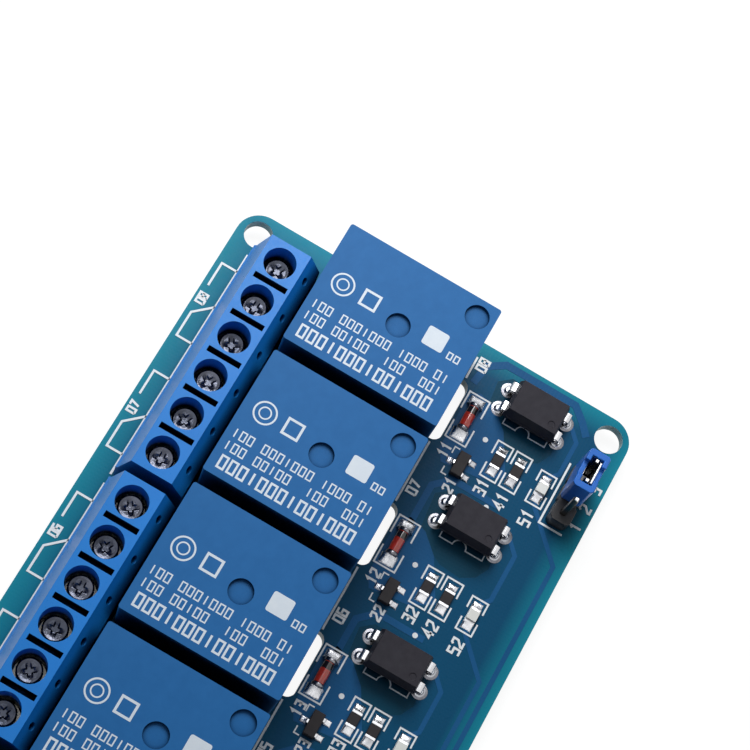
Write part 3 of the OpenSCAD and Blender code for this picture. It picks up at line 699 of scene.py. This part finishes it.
def strip(path, widths, thickness):
    """A strip whose path lies in the YZ plane: its width runs along X, and its thickness
    along the path's own normal, which is the path's direction turned by a quarter."""
    run = np.gradient(path, axis=0)
    run /= np.linalg.norm(run, axis=1)[:, None]
    normal = np.stack([-run[:, 1], run[:, 0]], -1) * thickness / 2
    half = np.broadcast_to(np.asarray(widths, float) / 2, len(path))
    front, back = path + normal, path - normal
    sides = [(half, back), (-half, back), (-half, front), (half, front)]
    return loft(np.stack([np.column_stack([x, p]) for x, p in sides], 1))


def mirrored(shape):
    """The shape turned half round Z, for the lead on the other side."""
    points, faces = shape
    return points * np.array([-1, -1, 1]), faces


# %% Optocoupler leads
LEAD_SHEET, LEAD_BEND = 0.25, 0.34
LEAD_WIDTH, TIP_WIDTH = 1.1, 0.5
SHOULDER_FROM, SHOULDER_TO = 0.65, 0.3
opto_low, opto_high = span("optocoupler_1")
opto_middle = {k: middle(f"optocoupler_{k}") for k in CHANNELS}
lead_low, lead_high = span("optocoupler_leads")
OPTO_ROW = (lead_high[1] - lead_low[1]) / 2 - LEAD_SHEET / 2
OPTO_SIDE = (opto_high[1] - opto_low[1]) / 2
LEAD_LEVEL = lead_high[2] - LEAD_SHEET / 2
PIN_PITCH = 2.54

start, corner, tip = (OPTO_SIDE - 0.15, LEAD_LEVEL), (OPTO_ROW, LEAD_LEVEL), (OPTO_ROW, lead_low[2])
path = bent([start, corner, tip], LEAD_BEND, 7)
shoulder = [[OPTO_ROW, BOARD_TOP + h] for h in (SHOULDER_FROM, SHOULDER_TO)]
path = np.vstack([path[:-1], shoulder, path[-1:]])
lead_widths = np.where(path[:, 1] > BOARD_TOP + 0.5, LEAD_WIDTH, TIP_WIDTH)
lead = strip(path, lead_widths, LEAD_SHEET)
columns = [
    (opto_middle[k][0] + s * PIN_PITCH / 2, opto_middle[k][1], 0) for k in CHANNELS for s in (-1, 1)
]
opto_leads = together([copies(lead, columns), copies(mirrored(lead), columns)])
piece("optocoupler_lead_set", opto_leads, tinned, 35, instead_of=["optocoupler_leads"])


# %% Transistor leads
def channel_row(first):
    """Where a part lies along X in each channel, a relay pitch apart."""
    return [first + RELAY_PITCH * i for i in range(8)]


body_low, body_high = span("transistors")
transistor_y = (body_low[1] + body_high[1]) / 2
transistor_side = (body_high[1] - body_low[1]) / 2
TRANSISTOR_HALF, FOOT_PITCH = 1.45, 0.95
transistor_x = channel_row(body_low[0] + TRANSISTOR_HALF)
FOOT_END, FOOT_SHEET, FOOT_WIDTH, FOOT_BEND = 1.2, 0.13, 0.42, 0.1
FOOT_LOW, FOOT_HIGH = BOARD_TOP + 0.07, BOARD_TOP + 0.47
path = bent(
    [(transistor_side - 0.05, FOOT_HIGH), (transistor_side + 0.24, FOOT_HIGH),
     (transistor_side + 0.30, FOOT_LOW), (FOOT_END, FOOT_LOW)], FOOT_BEND, 5)
foot = strip(path, FOOT_WIDTH, FOOT_SHEET)
near = [(x, transistor_y, 0) for x in transistor_x]
far = [(x + s * FOOT_PITCH, transistor_y, 0) for x in transistor_x for s in (-1, 1)]
transistor_leads = together([copies(foot, near), copies(mirrored(foot), far)])
piece("transistor_lead_set", transistor_leads, tinned, 35, instead_of=["transistor_leads"])

# %% [markdown]
# ### Solder
# Under the board each pin stands in a small hollow-sided cone: the profile falls as a
# quarter of an ellipse from a wide ring on the pad to the pin, and is turned about the pin.
# Above the board the small parts sit on pads, and the solder there is a low pillow that
# climbs towards the part: a height over a rectangle, as tall as the part's end on one side
# and thin at the other. Both are closed shapes with a flat foot.

# %% Places of the pins
relay_middle = {k: middle(f"relay_cover_{k}") for k in CHANNELS}
pin_low, pin_high = span("relay_pins")
SIDE_PIN, PIN_HALF = 6.0, 0.25
COMMON_PIN, FAR_PIN = pin_low[1] + PIN_HALF, pin_high[1] - PIN_HALF
COIL_PIN = COMMON_PIN + 2
relay_pins = [(0, COMMON_PIN)]
relay_pins += [(s * SIDE_PIN, y) for y in (COIL_PIN, FAR_PIN) for s in (1, -1)]
relay_pin_places = [(relay_middle[k][0] + dx, y) for k in CHANNELS for dx, y in relay_pins]
terminal_pin_places = [(x, screw_y) for x in pole_x]
opto_pin_places = [(x, y + s * OPTO_ROW) for x, y, _ in columns for s in (-1, 1)]
header_low, header_high = span("header_pins")
header_y = (header_low[1] + header_high[1]) / 2
input_middle, jumper_middle = middle("input_header"), middle("jumper_header")
input_pin_places = [(input_middle[0] + (i - 4.5) * PIN_PITCH, header_y) for i in range(10)]
jumper_pin_places = [(jumper_middle[0] + (i - 1) * PIN_PITCH, header_y) for i in range(3)]
header_pin_places = input_pin_places + jumper_pin_places
small_pin_places = opto_pin_places + header_pin_places
print("pins:", len(relay_pin_places + terminal_pin_places + small_pin_places))


# %% Cones under the board and collars above it
def cone(foot, tip, tall, down=True):
    """A solder fillet round a pin: radius tip + (foot - tip)(1 - sin a) at height
    tall (1 - cos a), for a from nothing to a quarter turn, which is hollow like the real one."""
    a = np.linspace(0, np.pi / 2, 7)
    radius = tip + (foot - tip) * (1 - np.sin(a))
    height = tall * (1 - np.cos(a))
    profile = [(foot, -0.02)] + list(zip(radius, height)) + [(0.6 * tip, tall * 1.04)]
    points, faces = turned(profile, 16)
    if down:
        points, faces = points * np.array([1, -1, -1]), faces
    return points, faces


def at_level(places, z):
    """Places in the plane as places in space."""
    return [(x, y, z) for x, y in places]


under = together([
    copies(cone(1.2, 0.55, 0.72), at_level(relay_pin_places + terminal_pin_places, BOARD_BOTTOM)),
    copies(cone(0.95, 0.38, 0.72), at_level(small_pin_places, BOARD_BOTTOM)),
])
piece("solder_cones", under, solder_bright, 60, instead_of=["solder_joints"])
collars = copies(cone(0.86, 0.36, 0.34, False), at_level(small_pin_places, BOARD_TOP))
piece("solder_collars", collars, solder_bright, 60)


PILLOW_STEPS = 9


def pillow(length, width, tall, low_end):
    """A solder pillow on a pad: over t from 0 to 1 along the pad and s from -1 to 1 across
    it, the height is (low_end + (tall - low_end)(1 - t)^2) times (1 - s^4)^(1/2), and it
    falls to the pad at the far end. It runs along +X from the part's end."""
    share = np.linspace(0, 1, PILLOW_STEPS)
    t, s = np.meshgrid(share, 2 * share - 1, indexing="ij")
    roll = np.sqrt(np.clip(1 - s**4, 0, 1)) * np.sqrt(np.clip(1 - t**8, 0, 1))
    height = (low_end + (tall - low_end) * (1 - t) ** 2) * roll + 0.01
    x, y = t * length, s * width / 2 * (1 - 0.08 * t)
    ring = np.stack([x, y, height], -1)
    foot = np.stack([x[:, [-1, 0]], y[:, [-1, 0]], np.full((PILLOW_STEPS, 2), -0.02)], -1)
    return loft(np.concatenate([ring, foot], 1)[:, ::-1])


# %% Pillows of the small parts
def both_ends(shape, places, reach):
    """The shape at +reach and, turned half round, at -reach of each place along X."""
    ahead = [(x + reach, y, z) for x, y, z in places]
    behind = [(x - reach, y, z) for x, y, z in places]
    return together([copies(shape, ahead), copies(shape, behind, [180] * len(behind))])


CHIP_HALF, CHIP_WIDTH = 1.0, 1.25
DIODE_HALF = 1.75
chip_low, chip_high = span("resistor_ends")
chip_rows = (chip_high[1] - CHIP_WIDTH / 2, chip_low[1] + CHIP_WIDTH / 2)
chip_x = channel_row(chip_low[0] + CHIP_HALF)
chip_places = [(x, y, BOARD_TOP) for x in chip_x for y in chip_rows]
lamp_low, lamp_high = span("leds")
lamp_x = channel_row(lamp_low[0] + CHIP_HALF)
lamp_places = [(x, (lamp_low[1] + lamp_high[1]) / 2, BOARD_TOP) for x in lamp_x]
diode_low, diode_high = span("diode_caps")
diode_x = channel_row(diode_low[0] + DIODE_HALF)
diode_y = (diode_low[1] + diode_high[1]) / 2
diode_places = [(x, diode_y, BOARD_TOP) for x in diode_x]
near_feet = [(x, y + 0.85, BOARD_TOP) for x, y, _ in near]
far_feet = [(x, y - 0.85, BOARD_TOP) for x, y, _ in far]
foot_pillow = pillow(0.85, 0.85, 0.34, 0.16)
pillows = together([
    both_ends(pillow(0.95, 1.40, 0.50, 0.16), chip_places, CHIP_HALF - 0.05),
    both_ends(pillow(0.80, 1.40, 0.42, 0.16), lamp_places, CHIP_HALF - 0.05),
    both_ends(pillow(1.25, 2.15, 0.90, 0.24), diode_places, DIODE_HALF - 0.10),
    copies(foot_pillow, near_feet, [90] * len(near_feet)),
    copies(foot_pillow, far_feet, [-90] * len(far_feet)),
])
piece("solder_pillows", pillows, pad_tin, 60)

# %% [markdown]
# ## Diodes, header pins and lamps
# The diodes are small glass barrels: clear red lacquered glass with a black ring near one
# end, between two metal caps. The header pins are square wire with a blunt pyramid at each
# end. The lamps have a metal foot at each end and a clear block over a pale chip.


# %% Glass diodes
def barrel(half, radius):
    """A glass barrel along X: the radius swells a little as a cosine from ends to middle."""
    a = np.linspace(-1, 1, 11)
    profile = [(radius * 0.6, -half - 0.06)]
    profile += [(radius * (0.94 + 0.06 * np.cos(x * np.pi / 2)), x * half) for x in a]
    profile += [(radius * 0.6, half + 0.06)]
    points, faces = turned(profile, 24)
    return points[:, [2, 0, 1]], faces


def banded_glass(name, tone, band_tone, band_at, band_half):
    """Red glass with a dark ring: the ring is where the point is near one place along X,
    counted again from each diode's own middle, a relay pitch apart."""
    finish, tree, shader = new_finish(name)
    place = in_millimetres(tree)
    start = diode_x[0] + band_at - RELAY_PITCH / 2
    shifted = maths(tree, "SUBTRACT", along(tree, place, "X"), start)
    wrapped = maths(tree, "FLOORED_MODULO", shifted, RELAY_PITCH)
    away = maths(tree, "ABSOLUTE", maths(tree, "SUBTRACT", wrapped, RELAY_PITCH / 2))
    ring = between(tree, away, band_half - 0.04, band_half + 0.04)
    red = mixed(tree, noise(tree, place, 0.5), tone, tuple(0.55 * c for c in tone))
    colour = mixed(tree, ring, band_tone, red)
    fed(tree, shader, Base_Color=colour, Roughness=0.12, Coat_Weight=0.6, Coat_Roughness=0.05)
    rippled(tree, shader, noise(tree, place, 0.8), 0.01)
    return finish


CAP_LENGTH = 0.45
diode_glass = banded_glass("diode_glass", (0.85, 0.055, 0.028), (0.020, 0.012, 0.012), 0.80, 0.42)
diode_level = (diode_low[2] + diode_high[2]) / 2
glass_places = [(x, diode_y, diode_level) for x in diode_x]
barrels = copies(barrel(DIODE_HALF - CAP_LENGTH - 0.02, 0.66), glass_places)
piece("diode_barrels", barrels, diode_glass, 50, instead_of=["diodes"])

# %% Header pins with blunt tips
PIN_SIDE, TIP_CUT, TIP_LENGTH = 0.64, 0.17, 0.45


def square_pin(low, high):
    """Square wire from low to high with a pyramid cut flat at each end, one lofted piece."""
    levels = [(TIP_CUT, low), (0, low + TIP_LENGTH), (0, high - TIP_LENGTH), (TIP_CUT, high)]
    return moulded(PIN_SIDE, PIN_SIDE, 0.06, levels, 3)


def tipped(name, side_tone, tip_tone, level):
    """Tinned wire that is dark along its length and bright above one level."""
    finish, tree, shader = new_finish(name)
    place = in_millimetres(tree)
    tip = between(tree, along(tree, place, "Z"), level - 0.05, level + 0.05)
    fine = noise(tree, place, 0.12)
    rough = between(tree, fine, 0.3, 0.7, 0.24, 0.36)
    colour = mixed(tree, tip, side_tone, tip_tone)
    fed(tree, shader, Base_Color=colour, Roughness=rough, Metallic=1.0)
    rippled(tree, shader, fine, 0.004)
    return finish


pin_tin = tipped("pin_tin", (0.10, 0.095, 0.085), (0.90, 0.89, 0.86), header_high[2] - 0.15)
header_pins = copies(square_pin(header_low[2], header_high[2]), at_level(header_pin_places, 0))
piece("header_pin_set", header_pins, pin_tin, 40, instead_of=["header_pins"])

# %% Lamp feet and chips
lamp_foot = moulded(0.40, 1.16, 0.08, [(0, 0.02), (0, 0.36), (0.05, 0.40)], 3)
piece("lamp_feet", both_ends(lamp_foot, lamp_places, CHIP_HALF - 0.19), tinned, 40)

# %% [markdown]
# ## Copper under the lacquer
# Copper is a thin foil, and the lacquer drapes over it, so a track shows as a low blue
# ridge. Each track here is a ribbon along a line of corner points that turns by 45 degrees,
# as board tracks do, and each zone is a flat field with straight sides. They stand a few
# hundredths of a millimetre above the board, and the white print lies over them.

# %% Tracks, zones and pad rings
COPPER = (BOARD_TOP - 0.01, BOARD_TOP + 0.03)
BARE_AND_SHADE_LEVELS = (BOARD_TOP - 0.01, BOARD_TOP + 0.015)
PRINT = (BOARD_TOP - 0.01, BOARD_TOP + 0.06)
FACE_AWAY = 9.5
LANES = [24.7, 23.5, 22.3, 21.3]
LINK = [(-3.2, 6.2), (2.2, 6.2), (4.0, 4.4), (4.0, -1.5)]
END_TRACK = [(64.0, -6.6), (66.6, -7.0), (68.0, -9.0), (68.0, -18.2), (66.6, -19.8), (65.2, -21.0)]
DRIVER_ZONE = [(-5.0, -7.6), (-3.4, -10.2), (1.4, -7.4), (3.4, -5.2), (4.0, -3.0), (3.2, -1.9),
               (-4.0, -1.9), (-5.6, -2.8)]
# The outline of the field of bare cloth and painted shade round each coupler.
BARE_AND_SHADE_ZONE = [(-4.6, -3.2), (-3.0, -4.0), (2.2, -3.4), (2.8, 4.0), (1.6, 5.4), (-2.9, 4.9),
             (-4.4, 3.0), (-5.4, 1.0), (-5.6, -1.6)]


def around(place, offsets):
    """The points that lie at these offsets from a place."""
    return [(place[0] + dx, place[1] + dy) for dx, dy in offsets]


def tracks(lines, width):
    """One shape from several lines of the same width."""
    return together([ribbon(line, width, *COPPER) for line in lines])


def zone(outline, levels):
    """A flat field: its outline, counterclockwise from above, lofted from level to level."""
    return loft(np.array([[(x, y, z) for x, y in outline] for z in levels]))


def lead_track(k):
    """From the coupler's outer high-X lead, out by 45 degrees and back to the lamp's pad."""
    x, y = opto_middle[k][0] + PIN_PITCH / 2, opto_middle[k][1] - OPTO_ROW
    lamp, level, _ = lamp_places[k - 1]
    out = [(x, y), (x, y - 0.7), (x - 1.4, y - 2.1)]
    return out + [(lamp + 2.7, y - 2.1), (lamp + 1.4, level + 0.1)]


def lamp_track(k):
    """From the lamp's low-X pad out by 45 degrees to its own lane, and along the board to
    the input header. Lanes nearer the edge belong to the channels farther from the header."""
    x, y, _ = lamp_places[k - 1]
    lane = LANES[k - 1 if k <= 4 else 8 - k]
    drop = lane + y
    if k <= 4:
        return [(x - 1.3, y), (x - 1.3, y - 0.4), (x - 0.9 + drop, -lane), (header_reach[0], -lane)]
    return [(x - 1.3, y), (x - 2.2, y - 0.3), (x - 1.9 - drop, -lane), (header_reach[1], -lane)]


# The broad copper lies round the diode and the transistor of each channel, as seen from its
# relay's front face. A darker field lies under each coupler and round its leads: partly bare
# cloth, and partly the coupler's shadow, painted in as painted shade.
faces_at = {k: (relay_middle[k][0], relay_middle[k][1] - FACE_AWAY) for k in CHANNELS}
header_reach = span("input_header")[0][0], span("input_header")[1][0]
signal = tracks([lead_track(k) for k in CHANNELS] + [lamp_track(k) for k in CHANNELS], 0.55)
link = tracks([around(opto_middle[k], LINK) for k in range(1, 8)], 0.8)
end_track = tracks([END_TRACK], 0.9)
fields = together([zone(around(faces_at[k], DRIVER_ZONE), COPPER) for k in CHANNELS])
piece("copper_tracks", together([signal, link, end_track, fields]), copper_lacquer, 30)
# Each coupler's painted shadow, over its bare cloth.
bare_and_shade_fields = together([zone(around(opto_middle[k], BARE_AND_SHADE_ZONE), BARE_AND_SHADE_LEVELS) for k in CHANNELS])
piece("bare_and_shade_fields", bare_and_shade_fields, bare_and_shade_lacquer, 30)

annulus = [(0.42, 0.045), (0.42, -0.01), (0.92, -0.01), (0.92, 0.03), (0.88, 0.045)]
rings_above = copies(turned(annulus, 20, loop=True),
                     at_level(relay_pin_places + small_pin_places, BOARD_TOP))
piece("pad_rings", rings_above, dull_tin, 40)

# %% [markdown]
# ## White print
# The print shows each part's outline in lines about a fifth of a millimetre wide, plain
# numbers beside the parts, and a small contact diagram beside each trio of terminals. It is
# drawn with the same ribbons as the copper. The numbers are strokes on a grid of two by
# four, like those of a plain display.

# %% Outlines
THIN_LINE, LINE, BROAD_LINE, HEAVY_LINE = 0.16, 0.20, 0.24, 0.26


def printed(line, width):
    """One line of print."""
    return ribbon(line, width, *PRINT)


def brackets(place, half, low, high, gap_low, gap_high):
    """An outline with a gap in each long side, as a pair of square brackets. All lengths are
    from its place: half along X each way, low and high along Y, and the gap's two ends."""
    left = [(gap_low, high), (-half, high), (-half, low), (gap_low, low)]
    right = [(gap_high, high), (half, high), (half, low), (gap_high, low)]
    return together([printed(around(place, line), LINE) for line in (left, right)])


def coupler_outline(k):
    """A three-sided outline on the coupler's low-X side, with a half-round notch in it."""
    x, y = opto_middle[k][0] - 2.58, opto_middle[k][1]
    top, low = y + 2.6, y - 2.9
    arc = np.linspace(np.pi / 2, -np.pi / 2, 9)
    notch = np.column_stack([x + 0.85 * np.cos(arc), y + 0.1 + 0.85 * np.sin(arc)])
    line = [(x + 0.7, top), (x, top)] + notch.tolist() + [(x, low), (x + 0.7, low)]
    return printed(line, THIN_LINE)


def round_dot(x, y, radius):
    """A small printed disc."""
    points, faces = turned([(radius, PRINT[0]), (radius, PRINT[1])], 14)
    return points + np.array([x, y, 0]), faces


CORNER = [(0.9, 1.45), (1.75, 1.45), (1.75, 0.8)]
lamp_y = lamp_places[0][1]
outlines = []
for k in CHANNELS:
    x, face = faces_at[k]
    outlines += [
        brackets(diode_places[k - 1], 3.1, -1.35, 1.3, -0.85, 0.8),
        brackets(lamp_places[k - 1], 2.1, -1.0, 1.0, -0.55, 0.65),
        coupler_outline(k),
        round_dot(x - 0.6, face - 6.05, 0.32),
        round_dot(x - 7.6, face - 9.85, 0.32),
    ]
    outlines += [brackets((chip_x[k - 1], y), 2.35, -1.0, 1.0, -0.6, 0.6) for y in chip_rows]
    outlines += [
        printed(around(near[k - 1], [(s * dx, dy) for dx, dy in CORNER]), THIN_LINE)
        for s in (-1, 1)
    ]
relay_low_x, relay_high_x = relay_middle[1][0] - 7.7, relay_middle[8][0] + 7.7
face_y = faces_at[1][1]
for k in range(1, 10):
    start = relay_low_x if k == 1 else relay_middle[k - 1][0] + 4.75
    stop = relay_high_x if k == 9 else relay_middle[k][0] - 4.15
    outlines.append(printed([(start, face_y - 0.62), (stop, face_y - 0.62)], BROAD_LINE))
jumper_frame = [(3.9, 1.7), (-4.2, 1.7), (-4.2, -1.3)]
input_frame = [(13.2, -1.6), (13.2, 1.7), (-13.2, 1.7), (-13.2, -1.6)]
for header, frame_line in ((jumper_middle, jumper_frame), (input_middle, input_frame)):
    outlines.append(printed(around((header[0], header_y), frame_line), BROAD_LINE))

# %% Contact diagrams beside the terminals
rim = board_high[1]
for b in BLOCKS:
    low, high = span(f"terminal_block_{b}")
    front = high[1]
    edge = high[0] + 0.1
    corner_line = [(low[0] + 0.15, front + 0.42), (edge, front + 0.42), (edge, front - 0.1)]
    outlines.append(printed(corner_line, HEAVY_LINE))
for i in range(8):
    first, second, third = pole_x[3 * i + 2], pole_x[3 * i + 1], pole_x[3 * i]
    out_y, in_y = rim - 0.76, front + 0.42
    hook = [(first - 2.85, out_y), (first + 0.33, out_y), (first + 0.33, in_y)]
    arm = [(second + 0.33, in_y), (second - 1.6, out_y)]
    arm += [(third + 0.22, out_y), (third + 0.22, in_y)]
    outlines += [printed(line, HEAVY_LINE) for line in (hook, arm)]

# %% Plain numbers
DIGIT_STEP = 3.1
STROKES = {
    "0": [[(0, 0), (2, 0), (2, 4), (0, 4), (0, 0.01)]],
    "1": [[(0.4, 3.1), (1.2, 4), (1.2, 0)]],
    "2": [[(0, 3.4), (0.5, 4), (2, 4), (2, 2.3), (0, 0.6), (0, 0), (2, 0)]],
    "3": [[(0, 4), (2, 4), (2, 0), (0, 0)], [(0.4, 2.1), (2, 2.1)]],
    "4": [[(1.5, 0), (1.5, 4), (0, 1.3), (2.2, 1.3)]],
    "5": [[(2, 4), (0, 4), (0, 2.3), (2, 2.3), (2, 0), (0, 0)]],
    "6": [[(2, 4), (0, 4), (0, 0), (2, 0), (2, 2.2), (0, 2.2)]],
    "7": [[(0, 4), (2, 4), (0.8, 0)]],
    "8": [[(0, 0), (2, 0), (2, 4), (0, 4), (0, 0.01)], [(0, 2.1), (2, 2.1)]],
}


def number(text, x, y, tall):
    """Digits from (x, y) along +X, each stroke a ribbon on a grid of two by four."""
    unit = tall / 4
    strokes = [(i, stroke) for i, digit in enumerate(text) for stroke in STROKES[digit]]
    return together([
        printed([(x + (DIGIT_STEP * i + px) * unit, y + py * unit) for px, py in line], HEAVY_LINE)
        for i, line in strokes
    ])


numbers = []
for k in CHANNELS:
    x, far = relay_middle[k][0], 9 - k
    numbers += [
        number(f"0{k}", pole_x[3 * (k - 1) + 1] - 0.15, rim - 1.45, 1.0),
        number(f"0{k}", x + 6.4, face_y - 2.2, 1.15),
        number(f"1{far}", x - 4.9, diode_y - 0.1, 1.15),
        number(f"2{far}", x - 8.3, transistor_y - 0.7, 1.15),
        number(f"3{far}", x - 6.7, chip_rows[0] - 0.55, 1.3),
        number(f"4{far}", x - 7.0, chip_rows[1] - 0.75, 1.3),
        number(f"5{far}", x - 7.2, lamp_y - 0.7, 1.3),
    ]
for i, (x, y) in enumerate(jumper_pin_places):
    numbers.append(number(str(i + 1), x - 0.35, y - 2.9, 1.3))
piece("board_print", together(outlines + numbers), print_white)

# %% [markdown]
# ## Marks on the relays
# A real relay's top is printed with its ratings. Here that place holds only plain shapes:
# rows of small open boxes and upright bars, a ring, a square and a solid field, in pale
# ink. They are ribbons laid a hair above the plastic, and each cover carries the same set.

# %% Rows of plain shapes
RELAY_TOP = span("relay_cover_1")[1][2]
INK = (RELAY_TOP - 0.02, RELAY_TOP + 0.008)


def row_of_shapes(x, y, pattern, tall, step, width):
    """One row along -Y from (x, y): o is an open box, i an upright bar and a blank is a
    gap, each in a cell step wide."""
    wide = step * 0.60
    made = []
    for cell, kind in enumerate(pattern):
        near = y - cell * step
        if kind == "o":
            box = [(x, near), (x, near - wide), (x + tall, near - wide), (x + tall, near)]
            made.append(ribbon(box, width, *INK, closed=True))
        elif kind == "i":
            made.append(ribbon([(x, near - wide / 2), (x + tall, near - wide / 2)], width, *INK))
    return together(made)


def ink_ring(x, y, radius, width):
    """A round line, from the cosine and sine of a full turn."""
    turn = np.linspace(0, 2 * np.pi, 32, endpoint=False)
    circle = np.column_stack([x + radius * np.cos(turn), y + radius * np.sin(turn)])
    return ribbon(circle, width, *INK, closed=True)


def ink_field(x, y, width, depth):
    """A solid field with round corners."""
    points, faces = moulded(width, depth, 0.25, [(0, INK[0]), (0, INK[1])], 4)
    return points + np.array([x, y, 0]), faces


cover_marks = together([
    row_of_shapes(-3.05, 8.70, "ioo oooiooo iooo oi", 1.0, 0.90, 0.15),
    row_of_shapes(-4.65, 8.80, "ioo ooioo  ioo  ooi", 1.0, 0.90, 0.15),
    row_of_shapes(-6.75, 8.35, "oooioooiooiooo", 1.4, 1.18, 0.24),
    ink_ring(0.95, 6.85, 1.25, 0.2), ink_ring(0.95, 6.85, 0.65, 0.16),
    ribbon([(0.05, 4.35), (1.85, 4.35), (1.85, 2.55), (0.05, 2.55)], 0.28, *INK, closed=True),
    ink_field(0.9, -4.75, 2.3, 2.5),
    row_of_shapes(-0.35, -6.75, "oo", 0.75, 0.85, 0.15),
])
for k in CHANNELS:
    cx, cy, _ = relay_middle[k]
    piece(f"relay_marks_{k}", copies(cover_marks, [(cx, cy, 0)]), relay_ink)
